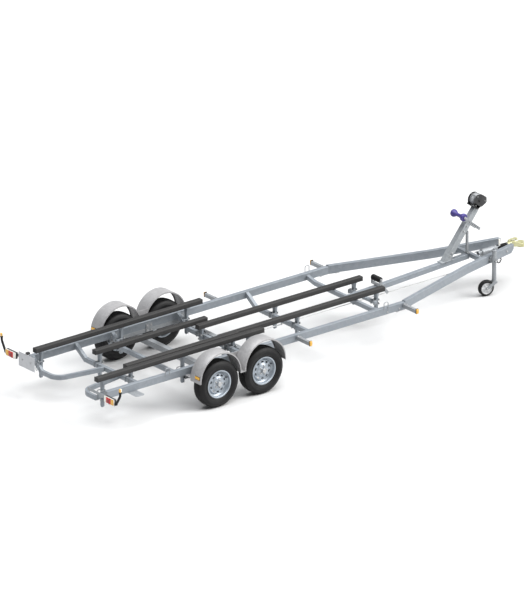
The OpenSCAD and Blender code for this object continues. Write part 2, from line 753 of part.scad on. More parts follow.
module jockey_wheel() {
    r = jockey_wheel_d / 2;
    h = jockey_wheel_w / 2;
    color("dimgray") at_jockey() translate([-jockey_trail, 0, r]) turned()
        polygon([[-h, 8 + pin_gap], [-h, 26], [-h + 14, 30], [-h + 14, r - 34], [-h, r - 30], [-h, r - 14],
            [-h + 12, r], [h - 12, r], [h, r - 14], [h, r - 30], [h - 14, r - 34], [h - 14, 30], [h, 26],
            [h, 8 + pin_gap]]);
}

// ---------- coupling ----------

// Housing bolted between the beams, with the sliding shaft of the overrun brake.
module overrun_unit() {
    x = drawbar_front_x - 420;
    l = 250;
    side = drawbar_y(x + l) - rail_w / 2 / cos(nose_angle) - 0.3;
    color("silver") difference() {
        union() {
            translate([x, -side, coupling_z - 8]) cube([l, 2 * side, 8]);
            translate([x, 0, coupling_z + 36]) rotate([0, 90, 0]) cylinder(d = 84, h = l);
            translate([x, -42, coupling_z - 2]) cube([l, 84, 40]);
            translate([x - 60, 0, coupling_z + 36]) rotate([0, 90, 0]) cylinder(d = shaft_d, h = l + 345);
            // lever that draws the brake rod
            translate([x + 10, rod_side - 12.2, rod_z - 14]) cube([40, 6, coupling_z - 7 - rod_z + 14]);
        }
        translate([x - 61, 0, coupling_z + 36]) rotate([0, 90, 0]) cylinder(d = shaft_d - 12, h = l + 347);
    }
}

module coupling_head() {
    ball_x = front_x - 62;
    tube_x = drawbar_front_x + 20;
    color("khaki") difference() {
        union() {
            translate([tube_x, 0, coupling_z + 36]) rotate([0, 90, 0]) cylinder(d = shaft_d + 16, h = 130);
            hull() {
                translate([tube_x + 70, -36, coupling_z + 2]) cube([40, 72, 64]);
                translate([ball_x, 0, coupling_z - 30]) cylinder(d = 96, h = 30);
            }
            translate([ball_x, 0, coupling_z - 34]) cylinder(d = 124, h = 14);
            translate([ball_x, 0, coupling_z - 34]) cylinder(d = 88, h = 66);
        }
        translate([tube_x - 1, 0, coupling_z + 36]) rotate([0, 90, 0]) cylinder(d = shaft_d + 0.4, h = 100);
        translate([ball_x, 0, coupling_z - 12]) sphere(d = ball_d + 0.3);
        translate([ball_x, 0, coupling_z - 60]) cylinder(d = ball_d + 0.3, h = 48);
    }
}

// Lever with its grip, lying back over the head.
module coupling_handle() {
    x = front_x - 150;
    z = coupling_z + 84;
    color("khaki") {
        translate([x - 8, -14, z - 29.5]) cube([24, 28, 55.5]);
        translate([x - 130, -13, z + 18]) cube([150, 26, 12]);
    }
}

module brake_rod() {
    x = -axle_half + arm_reach - 30;
    color("silver") translate([x, rod_side, rod_z]) rotate([0, 90, 0]) cylinder(d = 12, h = drawbar_front_x - 375 - x);
}

// Flat strap bent into a loop below the housing.
module strap_loop() {
    x = drawbar_front_x - 215;
    z = coupling_z - 8.3;
    color("silver") translate([x, -80, z]) difference() {
        union() {
            translate([0, 0, -110]) cube([70, 6, 110]);
            translate([35, 6, -110]) rotate([90, 0, 0]) cylinder(d = 70, h = 6);
        }
        translate([7, -1, -110]) cube([56, 8, 103]);
        translate([35, 7, -110]) rotate([90, 0, 0]) cylinder(d = 56, h = 8);
    }
}

place() side_rails();
place() drawbar_beams();
place() knee_brackets();
place() rear_loops();
place() cross_members();
place() centre_beam();
place() axle_subframes();
place() axle_tubes();
place() swing_arms();
place() rim_at(1, 1);  // rim_front_left
place() rim_at(1, -1);  // rim_front_right
place() rim_at(-1, 1);  // rim_rear_left
place() rim_at(-1, -1);  // rim_rear_right
place() tyre_at(1, 1);  // tyre_front_left
place() tyre_at(1, -1);  // tyre_front_right
place() tyre_at(-1, 1);  // tyre_rear_left
place() tyre_at(-1, -1);  // tyre_rear_right
place() mudguard();  // mudguard_left
place() mirror([0, 1, 0]) mudguard();  // mudguard_right
place() bunks_outer();
place() bunks_inner();
place() bunk_posts();
place() tail_lights();
place() number_plate();
place() lamp_brackets();
place() marker_lamps();
place() step_plates();
place() winch_post_lower();
place() winch_post_upper();
place() winch_strut();
place() winch_frame();
place() winch_drum();
place() bow_roller_arm();
place() bow_roller();
place() keel_roller_bracket();
place() keel_roller();
place() jockey_clamp();
place() jockey_tube();
place() jockey_fork();
place() jockey_wheel();
place() overrun_unit();
place() coupling_head();
place() coupling_handle();
place() brake_rod();
place() strap_loop();
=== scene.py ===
import math

import bmesh
import bpy
from mathutils import Matrix, Vector


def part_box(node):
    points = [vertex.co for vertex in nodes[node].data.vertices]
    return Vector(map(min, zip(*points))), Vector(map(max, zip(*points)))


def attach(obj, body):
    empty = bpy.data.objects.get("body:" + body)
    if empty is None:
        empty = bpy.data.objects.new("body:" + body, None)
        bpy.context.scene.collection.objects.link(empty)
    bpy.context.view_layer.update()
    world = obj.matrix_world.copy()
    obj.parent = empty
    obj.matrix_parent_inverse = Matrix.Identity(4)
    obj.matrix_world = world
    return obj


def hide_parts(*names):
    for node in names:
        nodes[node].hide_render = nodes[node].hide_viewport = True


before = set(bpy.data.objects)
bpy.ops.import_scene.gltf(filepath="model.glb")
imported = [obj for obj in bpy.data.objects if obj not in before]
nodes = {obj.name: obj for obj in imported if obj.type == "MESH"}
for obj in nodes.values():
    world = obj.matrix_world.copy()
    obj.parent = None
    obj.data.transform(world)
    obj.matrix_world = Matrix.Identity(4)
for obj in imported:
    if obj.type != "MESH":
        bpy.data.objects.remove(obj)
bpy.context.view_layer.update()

# ---- Camera, floor and light ----
# A long lens far away, behind the trailer's right rear corner and above it, so that parallel lines
# stay nearly parallel. The floor is plain and pale, and the light is two soft suns and the room.
aim = Vector((-0.527, 0.011, 0.744))
view_turn, view_rise = math.radians(-38.74), math.radians(22.0)
view_height = 7.90514
lens, sensor = 1200.0, 36.0
distance = lens / sensor * view_height
back = Vector((math.sin(view_turn), -math.cos(view_turn), math.tan(view_rise))) * math.cos(view_rise)
camera_data = bpy.data.cameras.new("camera")
camera_data.lens = lens
camera_data.sensor_width = sensor
camera_data.clip_start, camera_data.clip_end = 1.0, 600.0
camera = bpy.data.objects.new("camera", camera_data)
camera.location = aim + back * distance
camera.rotation_mode = "QUATERNION"
camera.rotation_quaternion = (-back).to_track_quat("-Z", "Y")
bpy.context.scene.collection.objects.link(camera)
bpy.context.scene.camera = camera
bpy.context.scene.view_settings.view_transform = "Standard"

floor_mesh = bpy.data.meshes.new("floor")
floor_bm = bmesh.new()
bmesh.ops.create_grid(floor_bm, x_segments=1, y_segments=1, size=70.0)
floor_bm.to_mesh(floor_mesh)
floor_bm.free()
floor = bpy.data.objects.new("floor", floor_mesh)
floor.location.z = -0.001
bpy.context.scene.collection.objects.link(floor)
floor_paint = bpy.data.materials.new("floor_paint")
floor_paint.use_nodes = True
floor_shader = floor_paint.node_tree.nodes["Principled BSDF"]
floor_shader.inputs["Base Color"].default_value = (0.56, 0.56, 0.56, 1)
floor_shader.inputs["Roughness"].default_value = 0.9
floor_shader.inputs["Specular IOR Level"].default_value = 0.1
floor_mesh.materials.append(floor_paint)


def sun_lamp(name, towards, strength, spread, colour):
    """A wide soft lamp that shines along a direction, everywhere alike."""
    data = bpy.data.lights.new(name, "SUN")
    data.energy = strength
    data.angle = math.radians(spread)
    data.color = colour
    lamp = bpy.data.objects.new(name, data)
    lamp.rotation_mode = "QUATERNION"
    lamp.rotation_quaternion = Vector(towards).to_track_quat("-Z", "Y")
    bpy.context.scene.collection.objects.link(lamp)


sun_lamp("key_lamp", (-0.66, 0.52, -0.66), 3.7, 40.0, (1.0, 0.99, 0.975))
sun_lamp("top_lamp", (0.10, 0.05, -1.0), 4.1, 60.0, (0.98, 0.99, 1.0))
room = bpy.data.worlds.new("room")
bpy.context.scene.world = room
room.use_nodes = True
room.node_tree.nodes["Background"].inputs["Color"].default_value = (0.93, 0.96, 1.0, 1)
room.node_tree.nodes["Background"].inputs["Strength"].default_value = 0.22


# ---- Frame steel ----
# Rails, drawbar beams, bent cross members, rear loops and bunk posts: welded box section, dipped
# whole in molten zinc, which leaves a matt blue-grey skin with a faint pattern of crystals.
def new_material(name, colour, metallic, roughness):
    """A Principled material with its Object coordinates ready for patterns."""
    material = bpy.data.materials.new(name)
    material.use_nodes = True
    surface(material)["Base Color"].default_value = (*colour, 1)
    surface(material)["Metallic"].default_value = metallic
    surface(material)["Roughness"].default_value = roughness
    place = material.node_tree.nodes.new("ShaderNodeTexCoord")
    place.name = "place"
    return material


def add_node(material, kind, **settings):
    """A shader node with its inputs set by name."""
    node = material.node_tree.nodes.new(kind)
    for key, value in settings.items():
        if hasattr(node, key):
            setattr(node, key, value)
        else:
            node.inputs[key.replace("_", " ")].default_value = value
    return node


def join(material, source, target):
    """Links a socket to another."""
    material.node_tree.links.new(source, target)


def surface(material):
    """The inputs of a material's shader."""
    return material.node_tree.nodes["Principled BSDF"].inputs


def texture(material, kind, output, **settings):
    """One output of a pattern laid over the piece by its Object coordinates."""
    pattern = add_node(material, "ShaderNodeTex" + kind, **settings)
    join(material, material.node_tree.nodes["place"].outputs["Object"], pattern.inputs["Vector"])
    return pattern.outputs[output]


def colour_steps(material, factor, steps):
    """A colour ramp from (position, colour) steps."""
    ramp = material.node_tree.nodes.new("ShaderNodeValToRGB")
    stops = ramp.color_ramp.elements
    while len(stops) < len(steps):
        stops.new(0.5)
    for stop, (position, colour) in zip(stops, steps):
        stop.position = position
        stop.color = (*colour, 1)
    join(material, factor, ramp.inputs["Fac"])
    return ramp.outputs["Color"]


def mixed(material, factor, first, second):
    """First colour where the factor is 0 and second where it is 1. Each is a socket or a colour."""
    mix = material.node_tree.nodes.new("ShaderNodeMix")
    mix.data_type = "RGBA"
    sockets = {socket.identifier: socket for socket in mix.inputs}
    join(material, factor, sockets["Factor_Float"])
    for name, colour in (("A_Color", first), ("B_Color", second)):
        if isinstance(colour, tuple):
            sockets[name].default_value = (*colour, 1)
        else:
            join(material, colour, sockets[name])
    return next(socket for socket in mix.outputs if socket.identifier == "Result_Color")


def rough_and_bump(material, factor, low, high, height, strength, distance):
    """Roughness from low to high along a factor, and a bump from a height."""
    spread = add_node(material, "ShaderNodeMapRange", To_Min=low, To_Max=high)
    join(material, factor, spread.inputs["Value"])
    join(material, spread.outputs["Result"], surface(material)["Roughness"])
    bump = add_node(material, "ShaderNodeBump", Strength=strength, Distance=distance)
    join(material, height, bump.inputs["Height"])
    join(material, bump.outputs["Normal"], surface(material)["Normal"])


def zinc_skin(name, dark, light, stain, crystal=26.0, metallic=0.25):
    """Hot-dipped zinc: crystals a few centimetres wide, long faint runs and a finely pitted surface."""
    material = new_material(name, light, metallic, 0.45)
    crystals = texture(material, "Voronoi", "Color", Scale=crystal, Randomness=1.0)
    grey = add_node(material, "ShaderNodeRGBToBW")
    join(material, crystals, grey.inputs["Color"])
    clouds = texture(material, "Noise", "Fac", Scale=2.3, Detail=5.0, Roughness=0.62)
    pits = texture(material, "Noise", "Fac", Scale=190.0, Detail=3.0)
    base = colour_steps(material, grey.outputs["Val"], [(0.1, dark), (0.9, light)])
    patch = add_node(material, "ShaderNodeMapRange", From_Min=0.48, From_Max=0.74, To_Min=0.0, To_Max=0.42)
    join(material, clouds, patch.inputs["Value"])
    join(material, mixed(material, patch.outputs["Result"], base, stain), surface(material)["Base Color"])
    rough_and_bump(material, grey.outputs["Val"], 0.38, 0.56, pits, 0.16, 0.0006)
    return material


def round_edges(shape, edge, segments=2):
    """Rounds every edge of a shape. An edge of 0 leaves it sharp."""
    if edge:
        bmesh.ops.bevel(shape, geom=shape.edges[:], offset=edge, offset_type="OFFSET", segments=segments,
                        profile=0.5, affect="EDGES", material=-1, clamp_overlap=True)
    return shape


def shape_prism(sides, radius, top_radius, depth, edge, segments=1):
    """An upright prism about the origin, with rounded edges."""
    shape = bmesh.new()
    bmesh.ops.create_cone(shape, cap_ends=True, segments=sides, radius1=radius, radius2=top_radius,
                          depth=depth)
    return round_edges(shape, edge, segments)


def shape_bar(low, high, edge=0.0, segments=2):
    """A block between two opposite corners, in any order, with rounded edges."""
    low, high = (Vector([pick(pair) for pair in zip(low, high)]) for pick in (min, max))
    shape = bmesh.new()
    bmesh.ops.create_cube(shape, size=1.0)
    bmesh.ops.scale(shape, vec=high - low, verts=shape.verts)
    bmesh.ops.translate(shape, vec=(low + high) / 2, verts=shape.verts)
    return round_edges(shape, edge, segments)


def shape_turned(profile, segments=32, closed=False):
    """A profile of (radius, height) turned round Z. A closed profile gives a ring."""
    shape = bmesh.new()
    verts = [shape.verts.new((radius, 0, height)) for radius, height in profile]
    edges = [shape.edges.new(pair) for pair in zip(verts, verts[1:])]
    if closed:
        edges.append(shape.edges.new((verts[-1], verts[0])))
    bmesh.ops.spin(shape, geom=verts + edges, cent=(0, 0, 0), axis=(0, 0, 1), dvec=(0, 0, 0),
                   angle=2 * math.pi, steps=segments, use_merge=True, use_duplicate=False)
    bmesh.ops.remove_doubles(shape, verts=shape.verts, dist=1e-6)
    bmesh.ops.recalc_face_normals(shape, faces=shape.faces)
    return shape


def shape_ring(inner, outer, half, lip=0.0, segments=24):
    """A flat ring about Z, from -half to half. Its outside is lower by a lip at each face."""
    return shape_turned([(inner, -half), (outer, lip - half), (outer, half - lip), (inner, half)], segments,
                        True)


def shape_rod(radius, length, segments=20, edge=0.0):
    """A round bar along Z, from 0 to its length, with chamfered ends."""
    return shape_turned([(0, 0), (radius - edge, 0), (radius, edge), (radius, length - edge),
                         (radius - edge, length), (0, length)], segments)


def shape_bolt(size, thread=0.0):
    """A washer and a hexagon head on a seat at z = 0, with a stub of thread above them."""
    shape = bmesh.new()
    put(shape, shape_turned([(0, 0), (size * 1.1, 0), (size * 1.1, size * 0.18), (0, size * 0.18)], 18))
    head = shape_prism(6, size * 0.92, size * 0.92, size * 0.7, size * 0.08)
    put(shape, head, Matrix.Translation((0, 0, size * 0.53)))
    if thread:
        put(shape, shape_rod(size * 0.5, thread, 12, size * 0.08), Matrix.Translation((0, 0, size * 0.2)))
    return shape


def put(piece, shape, matrix=Matrix(), material=0):
    """Adds a copy of a shape to a piece, at a place. The shape can be used again."""
    mesh = bpy.data.meshes.new("shape")
    shape.to_mesh(mesh)
    mesh.polygons.foreach_set("material_index", [material] * len(mesh.polygons))
    mesh.transform(matrix)
    if matrix.determinant() < 0:
        mesh.flip_normals()
    piece.from_mesh(mesh)
    bpy.data.meshes.remove(mesh)


def at(place, towards=(0, 0, 1), turn=0.0):
    """Moves Z to point towards a direction, after a turn about it, and moves the origin to a place."""
    turned = Vector(towards).to_track_quat("Z", "Y").to_matrix().to_4x4()
    return Matrix.Translation(place) @ turned @ Matrix.Rotation(turn, 4, "Z")


def put_both(piece, shape, middle, half, axis=Vector((0, 1, 0)), material=0):
    """Adds a copy of a shape at each end of an axle, facing outwards."""
    for side in (-1, 1):
        put(piece, shape, at(middle + axis * side * half, axis * side), material)


def new_piece(name, piece, materials, body, smooth=35.0, stands_for=()):
    """Makes the finished object of a piece, on its body."""
    mesh = bpy.data.meshes.new(name)
    piece.to_mesh(mesh)
    piece.free()
    for material in materials:
        mesh.materials.append(material)
    mesh.polygons.foreach_set("use_smooth", [True] * len(mesh.polygons))
    mesh.set_sharp_from_angle(angle=math.radians(smooth))
    made = bpy.data.objects.new(name, mesh)
    bpy.context.scene.collection.objects.link(made)
    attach(made, body)
    if stands_for:
        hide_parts(*stands_for)
    return made


def finish_node(name, material, edge=0.0, segments=2):
    """Gives a CAD node its material and rounds its corners."""
    node = nodes[name]
    node.data.materials.clear()
    node.data.materials.append(material)
    if edge:
        weld = node.modifiers.new("weld", "WELD")
        weld.merge_threshold = 0.00002
        bevel = node.modifiers.new("bevel", "BEVEL")
        bevel.width = edge
        bevel.segments = segments
        bevel.limit_method = "ANGLE"
        bevel.angle_limit = math.radians(40)
        bevel.harden_normals = False


rail_zinc = zinc_skin("rail_zinc", (0.215, 0.238, 0.264), (0.255, 0.278, 0.304), (0.195, 0.216, 0.24))
bright_zinc = zinc_skin("bright_zinc", (0.25, 0.265, 0.28), (0.31, 0.325, 0.34), (0.23, 0.235, 0.24),
                        crystal=60.0, metallic=0.3)
for name in ("side_rails", "drawbar_beams", "rear_loops", "cross_members", "centre_beam"):
    finish_node(name, rail_zinc, 0.006, 3)
finish_node("bunk_posts", rail_zinc, 0.003)
finish_node("knee_brackets", bright_zinc, 0.0015)

mid_x = 1.780
rail_top, rail_bottom, rail_side, rail_half = 0.540, 0.440, 0.800, 0.030
rail_rear, rail_front = -2.010 - mid_x, 3.000 - mid_x
cross_x = [x - mid_x for x in (-1.264, -0.654, 0.450, 1.609)]
shallow_x = 2.641 - mid_x


def weld_bead(piece, corners, radius=0.004, step=0.0055):
    """A rippled bead of weld along a line of corners."""
    for start, end in zip(corners, corners[1:]):
        start, end = Vector(start), Vector(end)
        count = max(1, int((end - start).length / step))
        for i in range(count):
            drop = bmesh.new()
            bmesh.ops.create_uvsphere(drop, u_segments=6, v_segments=4,
                                      radius=radius * (1 + 0.12 * math.sin(i * 2.4)))
            put(piece, drop, Matrix.Translation(start.lerp(end, i / count)))


def shape_tube(points, radius, closed=False, sides=3):
    """A round wire along a line of points."""
    curve = bpy.data.curves.new("tube", "CURVE")
    curve.dimensions = "3D"
    curve.bevel_depth = radius
    curve.bevel_resolution = sides
    curve.use_fill_caps = not closed
    spline = curve.splines.new("POLY")
    spline.points.add(len(points) - 1)
    for point, place in zip(spline.points, points):
        point.co = (*place, 1)
    spline.use_cyclic_u = closed
    holder = bpy.data.objects.new("tube", curve)
    shape = bmesh.new()
    shape.from_mesh(holder.to_mesh())
    holder.to_mesh_clear()
    bpy.data.objects.remove(holder)
    bpy.data.curves.remove(curve)
    bmesh.ops.recalc_face_normals(shape, faces=shape.faces)
    return shape


def arc(centre, radius, start, end, across, up, count=10):
    """Points of an arc about a centre, from one angle to another, in the plane of two directions."""
    across, up = Vector(across), Vector(up)
    return [Vector(centre) + radius * (math.cos(a) * across + math.sin(a) * up)
            for a in (math.radians(start + (end - start) * i / count) for i in range(count + 1))]


# Weld beads round the ends of the cross members, loops and drawbar beams.
beads = bmesh.new()
member_half, loop_half, member_height = 0.025, 0.020, 0.060
ends = [(x, member_half, 0.535, 0.535 - member_height / math.cos(math.atan2(0.140, 0.210))) for x in cross_x]
ends.append((shallow_x, member_half, 0.510, 0.510 - member_height / math.cos(math.atan2(0.035, 0.170))))
ends.append((rail_rear + member_half, loop_half, 0.535, 0.463))
for side in (-1, 1):
    y = side * (rail_side - rail_half)
    for x, half, top, bottom in ends:
        weld_bead(beads, [(x - half, y, top), (x + half, y, top), (x + half, y, bottom),
                          (x - half, y, bottom), (x - half, y, top)])
    outer, inner = side * (rail_side + rail_half), side * (rail_side - rail_half)
    weld_bead(beads, [(rail_front, outer, rail_bottom), (rail_front, outer, rail_top),
                      (rail_front, inner, rail_top), (rail_front, inner, rail_bottom)])
weld_zinc = zinc_skin("weld_zinc", (0.23, 0.25, 0.27), (0.28, 0.30, 0.32), (0.21, 0.225, 0.24), crystal=90.0)
new_piece("weld_beads", beads, [weld_zinc], "frame", 80)

# ---- Lashing eyes, joint plates and their bolts ----
# Bent round bar eyes stand on the rails. Flat plates with hexagon bolts join the rails to the
# subframes. More bolts sit at the knees and along the drawbar.


def noise(scale, detail, roughness=0.5):
    """A cloudy pattern."""
    return "Noise", {"Scale": scale, "Detail": detail, "Roughness": roughness}


def skin(name, metallic, tints, roughness, bump, pattern, grain=None):
    """A material whose tint and roughness follow a pattern. Its bump follows a grain, or the pattern."""
    material = new_material(name, tints[0][1], metallic, roughness[0])
    factor, height = (texture(material, kind, "Distance" if kind == "Voronoi" else "Fac", **settings)
                      for kind, settings in (pattern, grain or pattern))
    if len(tints) > 1:
        join(material, colour_steps(material, factor, tints), surface(material)["Base Color"])
    rough_and_bump(material, factor, *roughness, height, *bump)
    return material


bolt_steel = skin("bolt_steel", 0.6, [(0.3, (0.40, 0.40, 0.40)), (0.7, (0.54, 0.545, 0.55))], (0.25, 0.45),
                  (0.2, 0.0003), noise(160.0, 4.0))

fittings = bmesh.new()
eye_half, eye_height, eye_wire = 0.034, 0.078, 0.0055
for side in (-1, 1):
    for x in (2.676 - mid_x, -1.010 - mid_x):
        foot = rail_top - 0.03
        y = side * (rail_side + rail_half - 0.004 + eye_wire)
        points = arc((x, y, rail_top + eye_height - eye_half * 0.55), eye_half, 180, 0, (1, 0, 0),
                     (0, 0, 0.6), 12)
        points = [(x - eye_half, y, foot)] + points + [(x + eye_half, y, foot)]
        put(fittings, shape_tube(points, eye_wire))
new_piece("lashing_eyes", fittings, [bright_zinc], "frame")

plates, bolts = bmesh.new(), bmesh.new()
bolt_12 = shape_bolt(0.012, 0.018)
bolt_10 = shape_bolt(0.010, 0.014)
subframe_bottom = rail_bottom - 0.055
for side in (-1, 1):
    inner = side * (rail_side - rail_half)
    outer = side * (rail_side + rail_half)
    for x in (-0.640 - mid_x, -0.050 - mid_x, 0.540 - mid_x):
        low = (x - 0.055, inner - side * 0.006, subframe_bottom + 0.004)
        put(plates, shape_bar(low, (x + 0.055, inner, rail_top - 0.028), 0.0015))
        for dx in (-0.033, 0.033):
            for z in (subframe_bottom + 0.028, rail_bottom + 0.038):
                put(bolts, bolt_12, at((x + dx, inner - side * 0.006, z), (0, -side, 0), dx * 20))
    for x in (2.700 - mid_x, 2.900 - mid_x):
        put(bolts, bolt_10, at((x, outer, rail_bottom + 0.032), (0, side, 0), x))
    for x in (4.870 - mid_x, 5.250 - mid_x):
        slope = (0.360 - 0.138) / (5.400 - 4.420)
        face = 0.360 - (x + mid_x - 4.420) * slope + rail_half * math.sqrt(1 + slope * slope)
        put(bolts, bolt_12, at((x, side * face, rail_bottom + 0.060), (slope, side, 0), x))
    for x in (2.880 - mid_x, 3.110 - mid_x):
        for dy in (-0.012, 0.012):
            near_knee = rail_side if x < rail_front else rail_side - (x - rail_front) * 0.31
            put(bolts, bolt_10, at((x, side * (near_knee + dy), rail_bottom - 0.008), (0, 0, -1), x))
new_piece("joint_plates", plates, [bright_zinc], "frame")

# ---- Bunk posts' clamps ----
# Each post is held on its cross member by two U-bolts with nuts and washers on the post's face.
clamps = bmesh.new()
ahead, post_half = 0.040, 0.015
post_sites = [(rail_rear + 0.045 + post_half, 0.650, -1, 0.4955, 0.3625, loop_half)]
post_sites += [(cross_x[i] + ahead, 0.650, -1, 0.4795, 0.3600, member_half) for i in (1, 2)]
post_sites += [(cross_x[i] + ahead, 0.326, -1, 0.4015, 0.3285, member_half) for i in (0, 2)]
post_sites += [(cross_x[2] - ahead, 0.234, 1, 0.4015, 0.3285, member_half)]
post_sites += [(cross_x[3] + ahead, 0.234, -1, 0.4015, 0.3285, member_half)]
post_sites += [(2.990 - mid_x, 0.234, -1, 0.3960, 0.3410, member_half)]
rod, bend = 0.005, 0.008
for x, y, way, top, bottom, half in post_sites:
    face = x - way * post_half
    tip = face - way * 0.012
    rear = x + way * (post_half + 2 * half + rod - bend)
    for side in (-1, 1):
        for dy in (-0.031, 0.031):
            across = side * y + dy
            points = [(tip, across, top), (rear, across, top)]
            for height, start in ((top - bend, 90), (bottom + bend, 0)):
                points += arc((rear, across, height), bend, start, start - 90, (way, 0, 0), (0, 0, 1), 4)
            points += [(rear, across, bottom), (tip, across, bottom)]
            put(clamps, shape_tube(points, rod, sides=2))
        for z in (top, bottom):
            low, high = (face - way * 0.005, side * y - 0.046, z - 0.014), (face, side * y + 0.046, z + 0.014)
            put(clamps, shape_bar(low, high, 0.001, 1))
            for dy in (-0.031, 0.031):
                put(bolts, bolt_10, at((face - way * 0.005, side * y + dy, z), (-way, 0, 0), dy * 30))
new_piece("post_clamps", clamps, [bright_zinc], "frame")
new_piece("frame_bolts", bolts, [bolt_steel], "frame")

# ---- Axles ----
# Square tubes with a rubber-sprung trailing arm at each end, under a box section subframe.
for name in ("axle_subframes", "axle_tubes"):
    finish_node(name, bright_zinc, 0.004)
cast_iron = skin("cast_iron", 0.6, [(0.35, (0.055, 0.055, 0.06)), (0.7, (0.15, 0.15, 0.155))], (0.5, 0.75),
                 (0.5, 0.0015), noise(120.0, 6.0, 0.7))
finish_node("swing_arms", cast_iron)

# ---- Tyres ----
# Road tyres with five rows of tread blocks, rounded shoulders and a ridge that guards the rim.
rubber = new_material("tyre_rubber", (0.012, 0.012, 0.013), 0.0, 0.55)
surface(rubber)["Specular IOR Level"].default_value = 0.3
rubber_grain = texture(rubber, "Noise", "Fac", Scale=210.0, Detail=4.0)
rubber_bloom = texture(rubber, "Noise", "Fac", Scale=9.0, Detail=3.0)
rubber_tints = [(0.35, (0.004, 0.004, 0.0045)), (0.7, (0.009, 0.009, 0.0095))]
join(rubber, colour_steps(rubber, rubber_bloom, rubber_tints), surface(rubber)["Base Color"])
rough_and_bump(rubber, rubber_grain, 0.50, 0.70, rubber_grain, 0.25, 0.0008)

wheel_z, wheel_side, half_wheelbase, tyre_radius = 0.325, 1.055, 0.375, 0.325
groove = 0.007
rib_edges = [-0.066, -0.044, -0.040, -0.0155, -0.0115, 0.0115, 0.0155, 0.040, 0.044, 0.066]
crown = tyre_radius - groove


def crown_drop(across):
    """The tread falls away towards its shoulders."""
    return 0.006 * (abs(across) / 0.066) ** 2.2


side_wall = [(0.1780, 0.0660), (0.1925, 0.0690), (0.2010, 0.0755), (0.2070, 0.0805), (0.2120, 0.0825),
             (0.2170, 0.0800), (0.2290, 0.0870), (0.2450, 0.0920), (0.2600, 0.0935), (0.2640, 0.0950),
             (0.2680, 0.0935), (0.2860, 0.0880), (0.2985, 0.0795), (0.3060, 0.0725)]
tread = [(crown - crown_drop(y), y) for y in rib_edges]
outline = [(r, -y) for r, y in side_wall] + tread + [(r, y) for r, y in reversed(side_wall)]
lining = [(0.1780, 0.0420), (0.2000, 0.0500), (0.2400, 0.0760), (0.2850, 0.0700), (0.2990, 0.0500)]
outline += lining + [(r, -y) for r, y in reversed(lining)]
tyre = shape_turned(outline, 132, closed=True)
rib_middles = [(a + b) / 2 for a, b in zip(rib_edges[::2], rib_edges[1::2])]


def is_rib(face):
    """A face of the tread that lies on one of its five ribs."""
    middle = sum(vert.co.z for vert in face.verts) / 4
    on_tread = min(math.hypot(vert.co.x, vert.co.y) for vert in face.verts) > crown - 0.0075
    return on_tread and any(abs(middle - rib) < 0.0005 for rib in rib_middles)


ribs = [face for face in tyre.faces if is_rib(face)]
bmesh.ops.inset_individual(tyre, faces=ribs, thickness=0.0011, depth=groove - 0.0002, use_even_offset=True)
wheels = {axle + hand: (Vector((x - mid_x, side * wheel_side, wheel_z)), side)
          for axle, x in (("front_", half_wheelbase), ("rear_", -half_wheelbase))
          for hand, side in (("left", 1), ("right", -1))}
for name, (centre, side) in wheels.items():
    piece = bmesh.new()
    put(piece, tyre, at(centre, (0, side, 0)))
    new_piece(name + "_tyre", piece, [rubber], "wheel_" + name, 40, ["tyre_" + name])

# ---- Rims ----
# Pressed steel rims painted silver, with a ring of long vents, five bolts with domed heads, a pressed
# grease cap and a rubber valve.
rim_paint = skin("rim_paint", 0.35, [(0.38, (0.37, 0.41, 0.455)), (0.75, (0.31, 0.345, 0.38))],
                 (0.26, 0.44), (0.06, 0.0002), noise(11.0, 6.0, 0.65), noise(700.0, 2.0))

wheel_bolt = bmesh.new()
put(wheel_bolt, shape_turned([(0, 0), (0.0125, 0), (0.0125, 0.003), (0.0105, 0.005), (0, 0.005)], 20))
put(wheel_bolt, shape_prism(6, 0.0098, 0.0098, 0.012, 0.0012, 2), Matrix.Translation((0, 0, 0.010)))
put(wheel_bolt, shape_turned([(0.0070, 0.015), (0.0058, 0.0185), (0.0030, 0.0205), (0, 0.021)], 16))
grease_cap = shape_turned([(0.0350, 0), (0.0350, 0.004), (0.0322, 0.0055), (0.0315, 0.020), (0.0310, 0.0315),
                           (0.0285, 0.0350), (0.0200, 0.0375), (0.0100, 0.0385), (0, 0.0388)], 40)
valve = shape_turned([(0, 0), (0.0075, 0), (0.0070, 0.008), (0.0045, 0.012), (0.0042, 0.028), (0.0052, 0.029),
                      (0.0052, 0.038), (0, 0.039)], 14)
rim_face, bolt_circle, valve_circle, valve_turn = 0.054, 0.056, 0.142, 0.314
for name, (centre, side) in wheels.items():
    finish_node("rim_" + name, rim_paint, 0.0012)
    piece = bmesh.new()
    for i in range(5):
        angle = math.radians(72 * i)
        spot = centre + Vector((bolt_circle * math.cos(angle), side * rim_face,
                                -bolt_circle * math.sin(angle)))
        put(piece, wheel_bolt, at(spot, (0, side, 0), i))
    put(piece, grease_cap, at(centre + Vector((0, side * (rim_face - 0.0008), 0)), (0, side, 0)))
    spot = centre + Vector((valve_circle * math.cos(valve_turn), side * 0.012,
                            valve_circle * math.sin(valve_turn)))
    put(piece, valve, at(spot, (0.55, side, 0.17)), 1)
    new_piece(name + "_bolts", piece, [bolt_steel, rubber], "wheel_" + name, 30)

# ---- Mudguards ----
# Twin arches pressed from galvanised sheet, with a wired edge all round and an amber reflector at
# the rear end. They are bolted to stays on the rails.
guard_zinc = zinc_skin("guard_zinc", (0.30, 0.296, 0.30), (0.36, 0.356, 0.36), (0.27, 0.266, 0.27),
                       crystal=48.0, metallic=0.15)
guard_radius, guard_height, guard_inner, guard_width = 0.345, 0.430, 0.949, 0.212
lip_radius, bead_wire = guard_radius - 0.014, 0.0042


def cells(scale):
    """A regular grid of prisms, as in a lens."""
    return "Voronoi", {"Scale": scale, "Randomness": 0.0}


